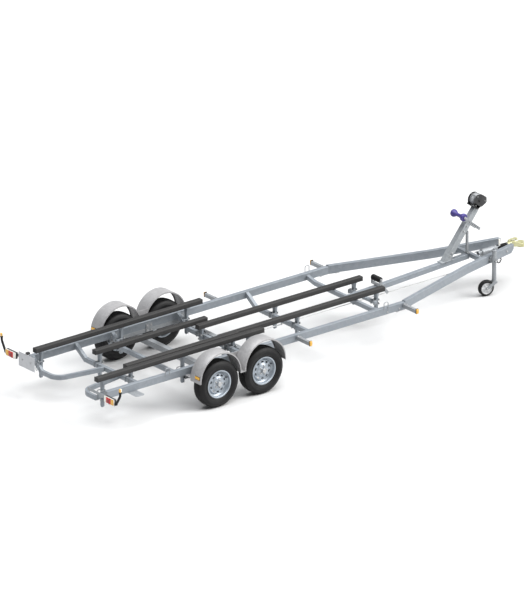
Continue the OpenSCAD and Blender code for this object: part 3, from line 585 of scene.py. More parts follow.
amber_lens = skin("amber_lens", 0.0, [(0.1, (0.82, 0.50, 0.10)), (0.8, (0.62, 0.30, 0.03))], (0.10, 0.24),
                  (0.35, 0.0008), cells(260.0))
for name, side in (("mudguard_left", 1), ("mudguard_right", -1)):
    finish_node(name, guard_zinc, 0.0008, 1)
    edges, guard_bolts, reflector = bmesh.new(), bmesh.new(), bmesh.new()
    for middle in (-half_wheelbase - mid_x, half_wheelbase - mid_x):
        for y in (side * guard_inner, side * (guard_inner + guard_width)):
            line = arc((middle, y, guard_height), lip_radius, -3.2, 183.2, (1, 0, 0), (0, 0, 1), 72)
            put(edges, shape_tube(line, bead_wire))
        for end in (-1, 1):
            x = middle + end * (guard_radius - 0.004)
            put(edges, shape_tube([(x, side * guard_inner, guard_height - 0.019),
                                   (x, side * (guard_inner + guard_width), guard_height - 0.019)], bead_wire))
    end_stay = half_wheelbase + guard_radius - 0.042
    for x in (-end_stay, 0.0, end_stay):
        for dx in (-0.016, 0.016):
            for dy, turn in ((0.045, dx * 40), (0.096, dx * 50)):
                spot = (x - mid_x + dx, side * (rail_side + rail_half + dy), guard_height + 0.016)
                put(guard_bolts, bolt_10, at(spot, (0, 0, 1), turn))
    tilt = math.asin(0.055 / guard_radius)
    outward = Vector((-math.cos(tilt), 0, math.sin(tilt)))
    spot = Vector((-half_wheelbase - mid_x, side * 1.095, guard_height)) + outward * (guard_radius - 0.002)
    put(reflector, shape_bar((-0.052, -0.024, 0), (0.052, 0.024, 0.004), 0.003), at(spot, outward), 1)
    put(reflector, shape_bar((-0.046, -0.018, 0.003), (0.046, 0.018, 0.010), 0.004, 3), at(spot, outward))
    new_piece(name + "_edges", edges, [guard_zinc], "frame")
    new_piece(name + "_bolts", guard_bolts, [bolt_steel], "frame")
    new_piece(name + "_reflector", reflector, [amber_lens, rubber], "frame")

# ---- Bunks ----
# Wooden beams in a dark ribbed rubber cover: the ribs run along the top, the corners are rounded and
# a moulded cap closes each end.
cover = skin("bunk_cover", 0.0, [(0.35, (0.019, 0.0185, 0.0185)), (0.72, (0.031, 0.030, 0.030))],
             (0.55, 0.8), (0.4, 0.001), noise(3.5, 6.0, 0.7), noise(420.0, 2.0))
bunk_half, bunk_height, bunk_round, cap_lip = 0.040, 0.064, 0.008, 0.0012
rib_height, rib_count = 0.0016, 9


def quarter(side, height, start):
    """Points (across, height) of a quarter round at a corner of the bunk's section."""
    angles = [math.radians(start + turn) for turn in range(0, 91, 18)]
    centre = side * (bunk_half - bunk_round)
    return [(centre + bunk_round * math.cos(a), height + bunk_round * math.sin(a)) for a in angles]


def bunk_outline():
    """Quarter rounds at the corners and ribs along the top, measured from the middle of the top."""
    flat = bunk_half - bunk_round - 0.003
    pitch = 2 * flat / rib_count
    points = quarter(-1, bunk_round - bunk_height, 180) + quarter(1, bunk_round - bunk_height, 270)
    points += quarter(1, -bunk_round, 0)
    for x in [flat - pitch * i for i in range(rib_count)]:
        points += [(x, 0.0), (x - pitch * 0.12, -rib_height), (x - pitch * 0.38, -rib_height)]
        points += [(x - pitch * 0.5, 0.0)]
    return points + quarter(-1, -bunk_round, 90)


def shape_drawn(outline, along):
    """A flat outline of points, drawn out along a direction."""
    shape = bmesh.new()
    face = shape.faces.new([shape.verts.new(point) for point in outline])
    drawn = bmesh.ops.extrude_face_region(shape, geom=[face])
    moved = [v for v in drawn["geom"] if isinstance(v, bmesh.types.BMVert)]
    bmesh.ops.translate(shape, vec=along, verts=moved)
    bmesh.ops.recalc_face_normals(shape, faces=shape.faces)
    return shape


def shape_bunk(rear, front, y, top):
    """The cover of one bunk, drawn out along the trailer, with a cap on each end."""
    section = [(rear + 0.004, y + across, top + height) for across, height in bunk_outline()]
    shape = shape_drawn(section, (front - rear - 0.008, 0, 0))
    for x, inward in ((rear, 1), (front, -1)):
        low = (x, y - bunk_half - cap_lip, top - bunk_height - cap_lip)
        high = (x + inward * 0.010, y + bunk_half + cap_lip, top + 0.0008)
        put(shape, shape_bar(low, high, 0.0045, 3))
    return shape


bunks = [("bunks_outer", "outer_bunks", [(-2.056, 0.734, 0.650, 0.697)]),
         ("bunks_inner", "inner_bunks", [(-1.320, 0.560, 0.326, 0.588), (0.335, 3.114, 0.234, 0.552)])]
for node, name, runs in bunks:
    piece = bmesh.new()
    for rear, front, y, top in runs:
        for side in (-1, 1):
            put(piece, shape_bunk(rear - mid_x, front - mid_x, side * y, top))
    new_piece(name, piece, [cover], "frame", 50, [node])

# ---- Rear lamps, outline lamps and number plate ----
# Moulded lamp clusters with a pale frame, a red triangle, a red lens and an amber lens. Each has a
# rubber arm with an outline lamp at its tip. The plate between them is blank, with its own lamp.
finish_node("lamp_brackets", bright_zinc, 0.0012, 1)
red_lens = skin("red_lens", 0.0, [(0.1, (0.70, 0.03, 0.025)), (0.8, (0.45, 0.010, 0.010))], (0.10, 0.24),
                (0.35, 0.0008), cells(230.0))
dark_red = skin("triangle_lens", 0.0, [(0.1, (0.34, 0.01, 0.01)), (0.8, (0.10, 0.0, 0.0))], (0.10, 0.3),
                (0.6, 0.001), cells(330.0))
pale_plastic = skin("pale_plastic", 0.0, [(0.0, (0.80, 0.78, 0.72))], (0.25, 0.4), (0.08, 0.0003),
                    noise(300.0, 2.0))
black_plastic = skin("black_plastic", 0.0, [(0.0, (0.02, 0.02, 0.022))], (0.38, 0.55), (0.25, 0.0004),
                     noise(520.0, 3.0))

rear_x = rail_rear - 0.150
lamp_side, lamp_half, lamp_low, lamp_high = 1.042, 0.105, 0.470, 0.562
arm_x, tip_side = rear_x + 0.030, 1.255
lenses, housing, arms = bmesh.new(), bmesh.new(), bmesh.new()
lamp_screw = shape_turned([(0, 0), (0.0045, 0), (0.0040, 0.0015), (0.0018, 0.0025), (0, 0.0025)], 12)
for side in (-1, 1):
    inner_end = side * (lamp_side - lamp_half)
    y0, y1 = sorted((inner_end, inner_end + side * 2 * lamp_half))
    put(housing, shape_bar((rear_x + 0.014, y0, lamp_low), (rear_x + 0.055, y1, lamp_high), 0.010, 4))
    corners = [(y0 + 0.010, lamp_low + 0.003), (y1 - 0.010, lamp_low + 0.003),
               (y1 - 0.004, lamp_low + 0.010), (y1 - 0.004, lamp_high - 0.010),
               (y1 - 0.010, lamp_high - 0.003), (y0 + 0.010, lamp_high - 0.003),
               (y0 + 0.004, lamp_high - 0.010), (y0 + 0.004, lamp_low + 0.010)]
    border = [(rear_x + 0.012, y, z) for y, z in corners]
    put(housing, shape_tube(border, 0.0055, closed=True), material=1)
    for inner, outer, paint in ((0.008, 0.046, 2), (0.048, 0.142, 0), (0.144, 0.202, 1)):
        low = (rear_x + 0.003, inner_end + side * inner, lamp_low + 0.008)
        high = (rear_x + 0.020, inner_end + side * outer, lamp_high - 0.008)
        put(lenses, shape_bar(low, high, 0.005, 4), material=paint)
    spot = Matrix.Translation((rear_x + 0.0025, side * (lamp_side - 0.010), 0.507))
    facing = spot @ Matrix.Rotation(-math.pi / 2, 4, "Y")
    put(lenses, shape_prism(3, 0.043, 0.040, 0.005, 0.0012, 2), facing, 3)
    for inner in (0.027, 0.190):
        spot = (rear_x + 0.003, inner_end + side * inner, lamp_low + 0.013)
        put(housing, lamp_screw, at(spot, (-1, 0, 0)), 2)
    bends = [(lamp_side + lamp_half - 0.004, 0.499), (1.172, 0.512), (1.196, 0.545), (1.226, 0.598),
             (1.250, 0.640), (tip_side, 0.690)]
    put(arms, shape_tube([(arm_x, side * y, z) for y, z in bends], 0.0165, sides=5))
    for i in range(5):
        spot = (arm_x, side * (1.152 + 0.006 * i), 0.500 + 0.002 * i)
        put(arms, shape_ring(0.012, 0.019, 0.003, 0.001, 20), at(spot, (0, side, 0.25)))
    tip_blocks = ((-0.018, 0.018, 0.0145, 0.680, 0.703, 3, 0), (-0.017, 0.001, 0.0135, 0.700, 0.745, 4, 1),
                  (0.001, 0.017, 0.0135, 0.700, 0.745, 4, 2))
    for rear, front, half, low, high, segments, paint in tip_blocks:
        corner = (arm_x + rear, side * tip_side - half, low)
        put(arms, shape_bar(corner, (arm_x + front, side * tip_side + half, high), 0.005, segments),
            material=paint)
new_piece("rear_lamp_housings", housing, [black_plastic, pale_plastic, bolt_steel], "frame",
          40)
new_piece("rear_lamp_lenses", lenses, [red_lens, amber_lens, pale_plastic, dark_red], "frame",
          40, ["tail_lights"])
new_piece("outline_lamps", arms, [rubber, amber_lens, pale_plastic], "frame",
          45, ["marker_lamps"])

side_markers, marker_bolts = bmesh.new(), bmesh.new()
marker_reach = rail_side + rail_half + 0.270
marker_low, marker_high = rail_bottom + 0.022, rail_bottom + 0.096
for side in (-1, 1):
    for x in (1.173 - mid_x, 2.978 - mid_x):
        low = (x - 0.022, side * marker_reach, marker_low)
        high = (x + 0.022, side * (marker_reach + 0.008), marker_high)
        put(side_markers, shape_bar(low, high, 0.003), material=1)
        low = (x - 0.019, side * (marker_reach + 0.006), marker_low + 0.004)
        high = (x + 0.019, side * (marker_reach + 0.026), marker_high - 0.004)
        put(side_markers, shape_bar(low, high, 0.007, 4))
        for z in (marker_low + 0.010, marker_high - 0.010):
            put(side_markers, lamp_screw, at((x, side * (marker_reach + 0.0255), z), (0, side, 0)), 2)
        for dx, dy in ((-0.006, 0.022), (0.006, 0.060)):
            spot = (x + dx, side * (rail_side + rail_half + dy), rail_bottom + 0.080)
            put(marker_bolts, bolt_10, at(spot, (0, 0, 1), dy * 30))
new_piece("side_marker_lamps", side_markers, [amber_lens, black_plastic, bolt_steel], "frame",
          40)
new_piece("marker_bolts", marker_bolts, [bolt_steel], "frame", 30)

plate_face = skin("plate_face", 0.0, [(0.35, (0.50, 0.51, 0.53)), (0.7, (0.44, 0.45, 0.47))], (0.3, 0.45),
                  (0.05, 0.0005), noise(14.0, 5.0))
finish_node("number_plate", plate_face, 0.0012)
plate_low, plate_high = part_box("number_plate")
plate_parts = bmesh.new()
plate_middle = (plate_low.y + plate_high.y) / 2
put(plate_parts, shape_bar((plate_low.x - 0.004, plate_middle - 0.022, plate_high.z + 0.001),
                           (plate_low.x + 0.046, plate_middle + 0.022, plate_high.z + 0.030), 0.006, 4))
put(plate_parts, shape_bar((plate_low.x - 0.003, plate_middle - 0.014, plate_high.z - 0.003),
                           (plate_low.x + 0.020, plate_middle + 0.014, plate_high.z + 0.004), 0.003, 3),
    material=1)
for y in (plate_middle - 0.088, plate_middle + 0.088):
    put(plate_parts, bolt_10, at((plate_low.x, y, plate_low.z + 0.107), (-1, 0, 0), y), 2)
left, right, foot, top = plate_high.y - 0.004, plate_low.y + 0.004, plate_low.z + 0.004, plate_high.z - 0.004
rim_line = [(plate_low.x, y, z) for y, z in ((right, foot), (left, foot), (left, top), (right, top))]
put(plate_parts, shape_tube(rim_line, 0.0022, closed=True), material=3)
new_piece("plate_lamp", plate_parts, [black_plastic, pale_plastic, bolt_steel, plate_face], "frame",
          40)

# ---- Step plates ----
# Short flat tongues with rounded outer corners and four raised ribs, bolted under the rails just
# ahead of the rear end.


def shape_plate(outline, thickness, edge=0.0):
    """A flat plate cut to an outline in X and Z, centred on Y."""
    shape = shape_drawn([(x, -thickness / 2, z) for x, z in outline], (0, thickness, 0))
    return round_edges(shape, edge)


step_x, step_length, step_reach, step_round = -1.669 - mid_x, 0.150, 0.218, 0.045
step_line = [(0.0, -0.020), (0.0, step_reach - step_round)]
for x, start in ((step_round, 180), (step_length - step_round, 90)):
    corner = arc((x, 0, step_reach - step_round), step_round, start, start - 90, (1, 0, 0), (0, 0, 1), 8)
    step_line += [(p.x, p.z) for p in corner]
step_line += [(step_length, -0.020)]
lay_flat = Matrix(((1, 0, 0, 0), (0, 0, 1, 0), (0, -1, 0, 0), (0, 0, 0, 1)))
steps = bmesh.new()
for side in (-1, 1):
    outline = [(step_x + x, side * (rail_side + reach)) for x, reach in step_line]
    under_rail = Matrix.Translation((0, 0, rail_bottom - 0.0025))
    put(steps, shape_plate(outline, 0.005, 0.0015), under_rail @ lay_flat, 1)
    for x in (step_x + 0.045, step_x + 0.105):
        put(steps, bolt_10, at((x, side * (rail_side + 0.010), rail_bottom - 0.005), (0, 0, -1), x))
    for i in range(4):
        x = step_x + 0.030 + 0.030 * i
        low = (x - 0.004, side * (rail_side + 0.055), rail_bottom - 0.001)
        high = (x + 0.004, side * (rail_side + 0.180), rail_bottom + 0.003)
        put(steps, shape_bar(low, high, 0.0015), material=1)
new_piece("step_tongues", steps, [bolt_steel, bright_zinc], "frame", 35, ["step_plates"])

# ---- Winch stand ----
# A leaning channel on a foot, a square tube that slides in it, and a strut on the front tube.
stand_zinc = zinc_skin("stand_zinc", (0.29, 0.31, 0.325), (0.35, 0.37, 0.385), (0.27, 0.285, 0.295),
                       crystal=40.0)
finish_node("winch_post_lower", stand_zinc, 0.003)
finish_node("winch_post_upper", stand_zinc, 0.004)
finish_node("winch_strut", bright_zinc, 0.0025)
lean = math.radians(51.0)
up_stand = Vector((math.cos(lean), 0, math.sin(lean)))
out_stand = Vector((-math.sin(lean), 0, math.cos(lean)))
stand_foot = Vector((4.300 - mid_x, 0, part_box("winch_post_lower")[0].z + 0.003))
stand_half = 0.040


def on_stand(along, across, out):
    """A point measured along the leaning stand from its foot, across it, and out of its rear face."""
    return stand_foot + up_stand * along + Vector((0, across, 0)) + out_stand * out


stand_bolts = bmesh.new()
stand_end = (1.010 - stand_foot.z) / math.sin(lean)
for side in (-1, 1):
    for along, out in ((stand_end - 0.050, -0.042), (stand_end - 0.130, -0.042), (0.120, -0.045),
                       (0.165, -0.045)):
        put(stand_bolts, bolt_12, at(on_stand(along, side * stand_half, out), (0, side, 0), along))
    strut_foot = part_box("winch_strut")[0] + Vector((0.025, 0, 0.006))
    put(stand_bolts, bolt_10, at((strut_foot.x, side * 0.034, strut_foot.z), (0, 0, 1), side))
weld_bead(stand_bolts, [on_stand(0.035, -stand_half, -0.004), on_stand(0.012, -stand_half, -0.060)], 0.004)
new_piece("stand_bolts", stand_bolts, [bolt_steel], "frame")

# ---- Winch ----
# Two black side plates with blunt noses on a base at the stand's top, and a grey webbing strap
# wound between the flanges of a drum.
winch_middle = Vector((4.892 - mid_x, 0, 1.262))
winch_radius, winch_half = 0.097, 0.067
winch_paint = skin("winch_paint", 0.0, [(0.4, (0.013, 0.013, 0.014)), (0.75, (0.040, 0.040, 0.042))],
                   (0.28, 0.5), (0.2, 0.0004), noise(18.0, 6.0, 0.7), noise(240.0, 4.0))
reel_paint = skin("reel_paint", 0.4, [(0.35, (0.30, 0.31, 0.32)), (0.7, (0.42, 0.43, 0.44))], (0.3, 0.5),
                  (0.3, 0.0005), noise(60.0, 6.0, 0.7))
threads = ("Wave", {"Scale": 260.0, "Distortion": 0.4})
webbing = skin("strap_web", 0.0, [(0.2, (0.24, 0.25, 0.26)), (0.8, (0.38, 0.39, 0.40))], (0.65, 0.85),
               (0.5, 0.0008), threads)
finish_node("winch_drum", reel_paint, 0.002)

side_line = [(0.0955 * math.cos(math.radians(a)), 0.0955 * math.sin(math.radians(a)))
             for a in range(62, 243, 6)]
side_line += [(-0.010, -0.094), (0.040, -0.088), (0.112, -0.050), (0.122, -0.034), (0.122, 0.020),
              (0.112, 0.036)]
winch_sides = bmesh.new()
for y in (-winch_half + 0.004, winch_half - 0.004):
    outline = [(winch_middle.x + x, winch_middle.z + z) for x, z in side_line]
    put(winch_sides, shape_plate(outline, 0.008, 0.0015), Matrix.Translation((0, y, 0)))
base_matrix = Matrix.Translation(winch_middle) @ Matrix.Rotation(-lean, 4, "Y")
put(winch_sides, shape_bar((-winch_radius - 0.010, -winch_half, -0.058),
                           (-winch_radius - 0.002, winch_half, 0.058), 0.002), base_matrix)
for y in (-winch_half + 0.004, winch_half - 0.004):
    put(winch_sides, shape_bar((-winch_radius - 0.004, y - 0.004, -0.056), (-0.055, y + 0.004, 0.056),
                               0.0015), base_matrix)
new_piece("winch_sides", winch_sides, [winch_paint], "frame", 35, ["winch_frame"])

winch_bits = bmesh.new()
bolt_6 = shape_bolt(0.006)
collar = shape_turned([(0.0135, 0), (0.0250, 0), (0.0250, 0.0035), (0.0135, 0.0035)], 24, closed=True)
put_both(winch_bits, collar, winch_middle, winch_half + 0.0002, material=1)
for side in (-1, 1):
    y = side * (winch_half + 0.0002)
    for x, z in ((0.092, -0.018), (0.020, -0.078), (-0.062, -0.050), (-0.030, 0.070)):
        put(winch_bits, bolt_6, at(winch_middle + Vector((x, y, z)), (0, side, 0), x * 30))
for angle in (math.radians(118), math.radians(62)):
    spot = winch_middle + Vector((0.088 * math.cos(angle), -winch_half + 0.004, 0.088 * math.sin(angle)))
    put(winch_bits, shape_rod(0.0055, 2 * winch_half - 0.008, 16, 0.001), at(spot, (0, 1, 0)))
new_piece("winch_fittings", winch_bits, [bolt_steel, winch_paint], "frame", 30)

strap = bmesh.new()
web = shape_turned([(0.0765, -0.027), (0.0795, -0.026), (0.0800, 0.0), (0.0795, 0.026), (0.0765, 0.027)], 72,
                   closed=True)
put(strap, web, at(winch_middle, (0, 1, 0)))
for i in range(3):
    outer = 0.0812 + 0.0002 * i
    line = [(0.0800, -0.0255 + 0.001 * i), (outer, -0.0250), (outer, 0.0250), (0.0800, 0.0255)]
    put(strap, shape_turned(line, 72, closed=True), at(winch_middle, (0, 1, 0)))
flange = shape_turned([(0.060, 0.0), (0.0865, 0.0), (0.0880, 0.0012), (0.0865, 0.0024), (0.060, 0.0024)],
                      60, closed=True)
put_both(strap, flange, winch_middle, 0.0315, material=1)
put_both(strap, shape_bolt(0.014, 0.012), winch_middle, winch_half + 0.0080, material=2)
new_piece("winch_strap", strap, [webbing, reel_paint, winch_paint], "winch_reel", 35)

# ---- Bow roller ----
# A blue dumbbell roller that takes the boat's bow, in a forked arm with a row of holes.
finish_node("bow_roller_arm", bright_zinc, 0.0012)
blue_rubber = skin("blue_rubber", 0.0, [(0.35, (0.040, 0.030, 0.17)), (0.7, (0.065, 0.050, 0.24))],
                   (0.35, 0.55), (0.15, 0.0004), noise(26.0, 5.0, 0.65), noise(480.0, 2.0))
bow_middle = Vector((4.590 - mid_x, 0, 1.117))
bow_half = 0.125
blue = bmesh.new()
lathe = [(-0.1250, 0.0085), (-0.1250, 0.0400), (-0.1240, 0.0440), (-0.1190, 0.0495), (-0.1120, 0.0522),
         (-0.1030, 0.0530), (-0.0940, 0.0522), (-0.0830, 0.0490), (-0.0690, 0.0415), (-0.0550, 0.0335),
         (-0.0420, 0.0275), (-0.0300, 0.0247), (-0.0150, 0.0240)]
lathe += [(-y, r) for y, r in reversed(lathe)]
put(blue, shape_turned([(r, y) for y, r in lathe], 64, closed=True), at(bow_middle, (0, 1, 0)))
for r in (0.0200, 0.0360):
    line = [(r - 0.0012, -0.0012), (r + 0.0012, -0.0012), (r + 0.0012, 0.0014), (r - 0.0012, 0.0014)]
    put_both(blue, shape_turned(line, 56, closed=True), bow_middle, bow_half - 0.0007)
new_piece("blue_roller", blue, [blue_rubber], "bow_roller", 40, ["bow_roller"])
bow_bits = bmesh.new()
pin_nut = shape_bolt(0.015, 0.016)
disc = shape_turned([(0, 0), (0.0078, 0), (0.0078, 0.0008), (0, 0.0008)], 20)
put_both(bow_bits, pin_nut, bow_middle, bow_half + 0.0117)
for i in range(9):
    put_both(bow_bits, disc, bow_middle - out_stand * (0.090 + 0.034 * i), stand_half + 0.0060, material=1)
new_piece("bow_arm_fittings", bow_bits, [bolt_steel, black_plastic], "frame", 30)

# ---- Keel roller ----
# A ribbed black roller for the keel, on a bracket on the centre beam.
finish_node("keel_roller_bracket", bright_zinc, 0.0012)
keel_middle = Vector((3.190 - mid_x, 0, 0.566))
keel_radius, keel_half = 0.039, 0.085
keel_end = [(0.00805, -keel_half), (0.0300, -keel_half), (0.0360, -keel_half + 0.003),
            (keel_radius, -keel_half + 0.008)]
profile = list(keel_end)
for i in range(6):
    y = -keel_half + 0.014 + 0.0245 * i
    profile += [(keel_radius, y), (keel_radius - 0.0025, y + 0.0025), (keel_radius - 0.0025, y + 0.0065),
                (keel_radius, y + 0.0090)]
profile += [(r, -y) for r, y in reversed(keel_end)]
keel = bmesh.new()
put(keel, shape_turned(profile, 56, closed=True), at(keel_middle, (0, 1, 0)))
new_piece("black_roller", keel, [rubber], "keel_roller", 40, ["keel_roller"])
keel_bits = bmesh.new()
put_both(keel_bits, pin_nut, keel_middle, keel_half + 0.0117)
new_piece("keel_bolts", keel_bits, [bolt_steel], "frame", 30)

# ---- Jockey wheel ----
# A zinc tube with a crank on top, held by a clamp with four bolts and a toggle. The castor has a
# ribbed rubber tyre on a pale moulded hub.
finish_node("jockey_clamp", bright_zinc, 0.002)
finish_node("jockey_tube", bright_zinc, 0.0015)
finish_node("jockey_fork", bright_zinc, 0.0015)
tube_low, tube_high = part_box("jockey_tube")
jockey_top = Vector((4.940 - mid_x, (tube_low.y + tube_high.y) / 2, tube_high.z))
crank = bmesh.new()
put(crank, shape_turned([(0, 0), (0.0300, 0), (0.0325, 0.002), (0.0325, 0.012), (0.0290, 0.016),
                         (0.0140, 0.018), (0, 0.018)], 40),
    Matrix.Translation(jockey_top))
put(crank, shape_rod(0.0085, 0.040, 20, 0.001), Matrix.Translation(jockey_top))
swing = Vector((0.954, 0.300, 0))
arm_place = Matrix.Translation(jockey_top + Vector((0, 0, 0.033)))
arm_turn = Matrix.Rotation(math.atan2(swing.y, swing.x), 4, "Z")
put(crank, shape_bar((-0.018, -0.012, -0.003), (0.135, 0.012, 0.003), 0.002), arm_place @ arm_turn)
grip = shape_turned([(0, 0), (0.0100, 0), (0.0125, 0.004), (0.0135, 0.040), (0.0120, 0.080), (0.0090, 0.090),
                     (0, 0.092)], 24)
put(crank, grip, Matrix.Translation(jockey_top + swing * 0.122 + Vector((0, 0, 0.036))), 1)
for height in (-0.190, -0.240):
    spot = jockey_top + Vector((0, 0, height))
    put(crank, shape_ring(0.0299, 0.0312, 0.004, 0.001, 44), Matrix.Translation(spot))
new_piece("jockey_crank", crank, [bright_zinc, pale_plastic], "jockey_leg", 35)

toggle = bmesh.new()
clamp_low, clamp_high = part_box("jockey_clamp")
clamp_z = (clamp_low.z + clamp_high.z) / 2
for height in (-0.024, 0.024):
    for dx in (-0.045, 0.045):
        spot = (jockey_top.x + dx, jockey_top.y + 0.0195 + 0.010 * (dx < 0), clamp_z + height)
        put(toggle, bolt_10, at(spot, (0, -1, 0), dx * 20))
arm = (jockey_top.x + 0.012, jockey_top.y - 0.037, clamp_z)
put(toggle, shape_rod(0.006, 0.030, 16, 0.001), at(arm, (0.2, -1, 0)))
put(toggle, shape_tube([(arm[0] - 0.050, arm[1] - 0.026, clamp_z - 0.004),
                        (arm[0] + 0.060, arm[1] - 0.026, clamp_z + 0.006)], 0.005))
for end in (-0.050, 0.060):
    ball = bmesh.new()
    bmesh.ops.create_uvsphere(ball, u_segments=16, v_segments=10, radius=0.0085)
    put(toggle, ball, Matrix.Translation((arm[0] + end, arm[1] - 0.026, clamp_z + end * 0.09)), 1)
new_piece("clamp_toggle", toggle, [bolt_steel, black_plastic], "frame", 35)

castor_turn = math.radians(-15)
axis = Vector((-math.sin(castor_turn), math.cos(castor_turn), 0))
trail = Vector((-math.cos(castor_turn), -math.sin(castor_turn), 0)) * 0.118
castor = jockey_top.copy() + trail
castor.z = 0.110
pale_hub = skin("pale_hub", 0.0, [(0.4, (0.66, 0.67, 0.68)), (0.75, (0.46, 0.46, 0.46))], (0.35, 0.55),
                (0.12, 0.0004), noise(55.0, 6.0, 0.7))
half, radius = 0.0325, 0.110
roll, hub = bmesh.new(), bmesh.new()
shoulder = [(0.0790, -half + 0.001), (0.0880, -half - 0.0005), (0.0960, -half), (0.1040, -half + 0.006),
            (radius - 0.001, -half + 0.0135)]
tread_line = list(shoulder)
for i in range(4):
    y = -0.0165 + 0.0097 * i
    tread_line += [(radius, y - 0.0004), (radius - 0.0030, y + 0.0006), (radius - 0.0030, y + 0.0034),
                   (radius, y + 0.0044)]
tread_line += [(r, -y) for r, y in reversed(shoulder)] + [(0.0770, 0.020), (0.0770, -0.020)]
put(roll, shape_turned(tread_line, 96, closed=True), at(castor, axis))
hub_line = [(0.00808, -half), (0.0240, -half), (0.0265, -half + 0.003), (0.0290, -half + 0.0135),
            (0.0740, -half + 0.0135), (0.0765, -half + 0.003), (0.0785, -half + 0.0005),
            (0.0800, -half + 0.003)]
hub_line += [(r, -y) for r, y in reversed(hub_line)]
put(hub, shape_turned(hub_line, 72, closed=True), at(castor, axis))
for side in (-1, 1):
    for i in range(6):
        turned = at(castor, axis) @ Matrix.Rotation(math.radians(60 * i), 4, "Z")
        spoke = shape_bar((0.0265, -0.0035, side * (half - 0.0145)), (0.0765, 0.0035, side * (half - 0.0045)),
                          0.0015)
        put(hub, spoke, turned)
new_piece("castor_tyre", roll, [rubber], "jockey_roller", 40, ["jockey_wheel"])
new_piece("castor_hub", hub, [pale_hub], "jockey_roller", 35)
castor_nuts = bmesh.new()
put_both(castor_nuts, bolt_12, castor, half + 0.0117, axis)
new_piece("castor_nuts", castor_nuts, [bolt_steel], "jockey_castor", 30)

# ---- Overrun unit and coupling ----
# A tube housing bolted between the drawbar's beams, rubber bellows over the sliding shaft, and a
# yellow passivated ball coupling with a hooked lever.
finish_node("overrun_unit", bright_zinc, 0.002)
yellow_zinc = skin("yellow_zinc", 0.35, [(0.35, (0.50, 0.49, 0.29)), (0.7, (0.42, 0.40, 0.22))], (0.3, 0.5),
                   (0.15, 0.0004), noise(20.0, 6.0, 0.65), noise(260.0, 3.0))
finish_node("coupling_head", yellow_zinc, 0.003, 3)
shaft_z, beam_end = 0.486, 5.400 - mid_x
bellows = []
for i in range(11):
    x = 0.172 * i / 10
    bellows += [(0.0315, x), (0.0405 - 0.004 * i / 10, x + 0.0086)]
bellows = bellows[:-1] + [(0.0292, 0.176), (0.0291, 0.0)]
gaiter = bmesh.new()
put(gaiter, shape_turned(bellows, 48, closed=True), at((beam_end - 0.166, 0, shaft_z), (1, 0, 0)))
new_piece("shaft_bellows", gaiter, [rubber], "frame", 50)

hitch_bits = bmesh.new()
nipple = shape_turned([(0, 0), (0.0040, 0), (0.0040, 0.006), (0.0025, 0.008), (0.0035, 0.011), (0, 0.012)],
                      12)
for x in (beam_end - 0.390, beam_end - 0.200):
    for y in (-0.078, 0.078):
        put(hitch_bits, bolt_12, at((x, y, 0.450), (0, 0, 1), x))
for x in (beam_end - 0.395, beam_end - 0.195):
    put(hitch_bits, shape_ring(0.0418, 0.0450, 0.012, 0.001, 48), at((x, 0, shaft_z), (1, 0, 0)), 1)
    put(hitch_bits, nipple, at((x, 0, shaft_z + 0.0448)))
for x in (beam_end + 0.045, beam_end + 0.085):
    for side in (-1, 1):
        put(hitch_bits, bolt_12, at((x, side * 0.0368, shaft_z), (0, side, 0), 0.3))
new_piece("hitch_bolts", hitch_bits, [bolt_steel, bright_zinc], "frame", 35)

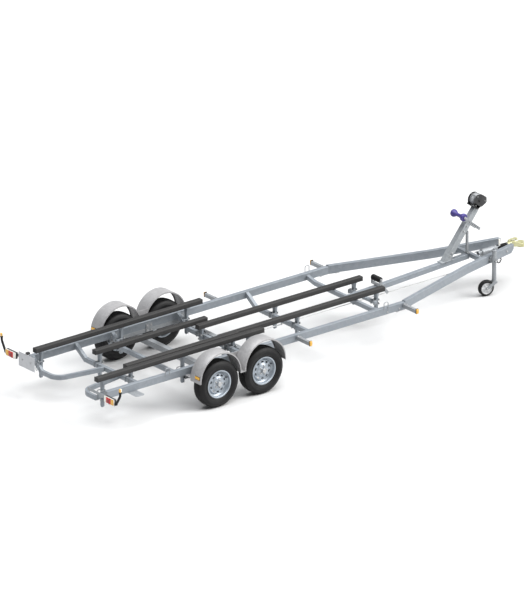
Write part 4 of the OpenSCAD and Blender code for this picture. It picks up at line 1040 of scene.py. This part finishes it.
lever = bmesh.new()
hinge = (5.720 - 0.150 - mid_x, 0.5345)
lever_line = [(0.018, 0.0), (0.020, 0.026), (0.006, 0.036), (-0.060, 0.038), (-0.104, 0.034),
              (-0.126, 0.024), (-0.134, 0.010), (-0.128, -0.002), (-0.116, -0.006), (-0.106, 0.002),
              (-0.100, 0.012), (-0.086, 0.018), (-0.030, 0.018), (-0.010, 0.012), (-0.008, 0.0)]
put(lever, shape_plate([(hinge[0] + x, hinge[1] - 0.014 + z) for x, z in lever_line], 0.026, 0.002))
pin = shape_turned([(0, 0), (0.0075, 0), (0.0070, 0.002), (0, 0.0022)], 16)
put_both(lever, pin, Vector((hinge[0] + 0.005, 0, hinge[1] + 0.004)), 0.0130, material=1)
for side in (-1, 1):
    low = (hinge[0] - 0.008, side * 0.0132, hinge[1] - 0.014)
    high = (hinge[0] + 0.020, side * 0.0172, hinge[1] + 0.010)
    put(lever, shape_bar(low, high, 0.0015))
new_piece("coupling_lever", lever, [yellow_zinc, bolt_steel], "frame", 35, ["coupling_handle"])

# ---- Brake rod, its guides, and the strap loop ----
# The rod runs from the overrun unit to the rear axle, through guides under two cross members. The
# loop hangs below the overrun unit.
finish_node("brake_rod", bolt_steel)
loop_low, loop_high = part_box("strap_loop")
loop_y, loop_x = (loop_low.y + loop_high.y) / 2, (loop_low.x + loop_high.x) / 2
loop_line = [(loop_x + 0.028, loop_y, loop_high.z - 0.006), (loop_x - 0.028, loop_y, loop_high.z - 0.006)]
loop_line += arc((loop_x, loop_y, loop_low.z + 0.035), 0.029, 180, 360, (1, 0, 0), (0, 0, 1), 14)
hanger = bmesh.new()
put(hanger, shape_tube(loop_line, 0.0085, closed=True, sides=5))
put(hanger, shape_bar((loop_x - 0.033, loop_y - 0.010, loop_high.z - 0.013),
                      (loop_x + 0.033, loop_y + 0.010, loop_high.z), 0.003))
for side in (-1, 1):
    put(hanger, shape_bar((loop_x + side * 0.029 - 0.0075, loop_y - 0.011, loop_low.z + 0.030),
                          (loop_x + side * 0.029 + 0.0075, loop_y + 0.011, loop_high.z - 0.008), 0.003))
new_piece("strap_eye", hanger, [cast_iron], "frame", 40, ["strap_loop"])
guides = bmesh.new()
rod_y, rod_z = 0.045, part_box("brake_rod")[1].z - 0.006
for x in (cross_x[2], cross_x[3]):
    put(guides, shape_ring(0.0068, 0.0095, 0.007), at((x, rod_y, rod_z), (1, 0, 0)))
    put(guides, shape_bar((x - 0.010, rod_y - 0.0015, rod_z + 0.008), (x + 0.010, rod_y + 0.0015, 0.338),
                          0.0006, 1))
for x, size in ((5.010 - mid_x, 0.012), (-0.200 - mid_x, 0.010)):
    put(guides, shape_ring(0.0062, size, 0.016, 0.002, 6), at((x, rod_y, rod_z), (1, 0, 0)), 1)
new_piece("rod_guides", guides, [bright_zinc, bolt_steel], "frame", 30)
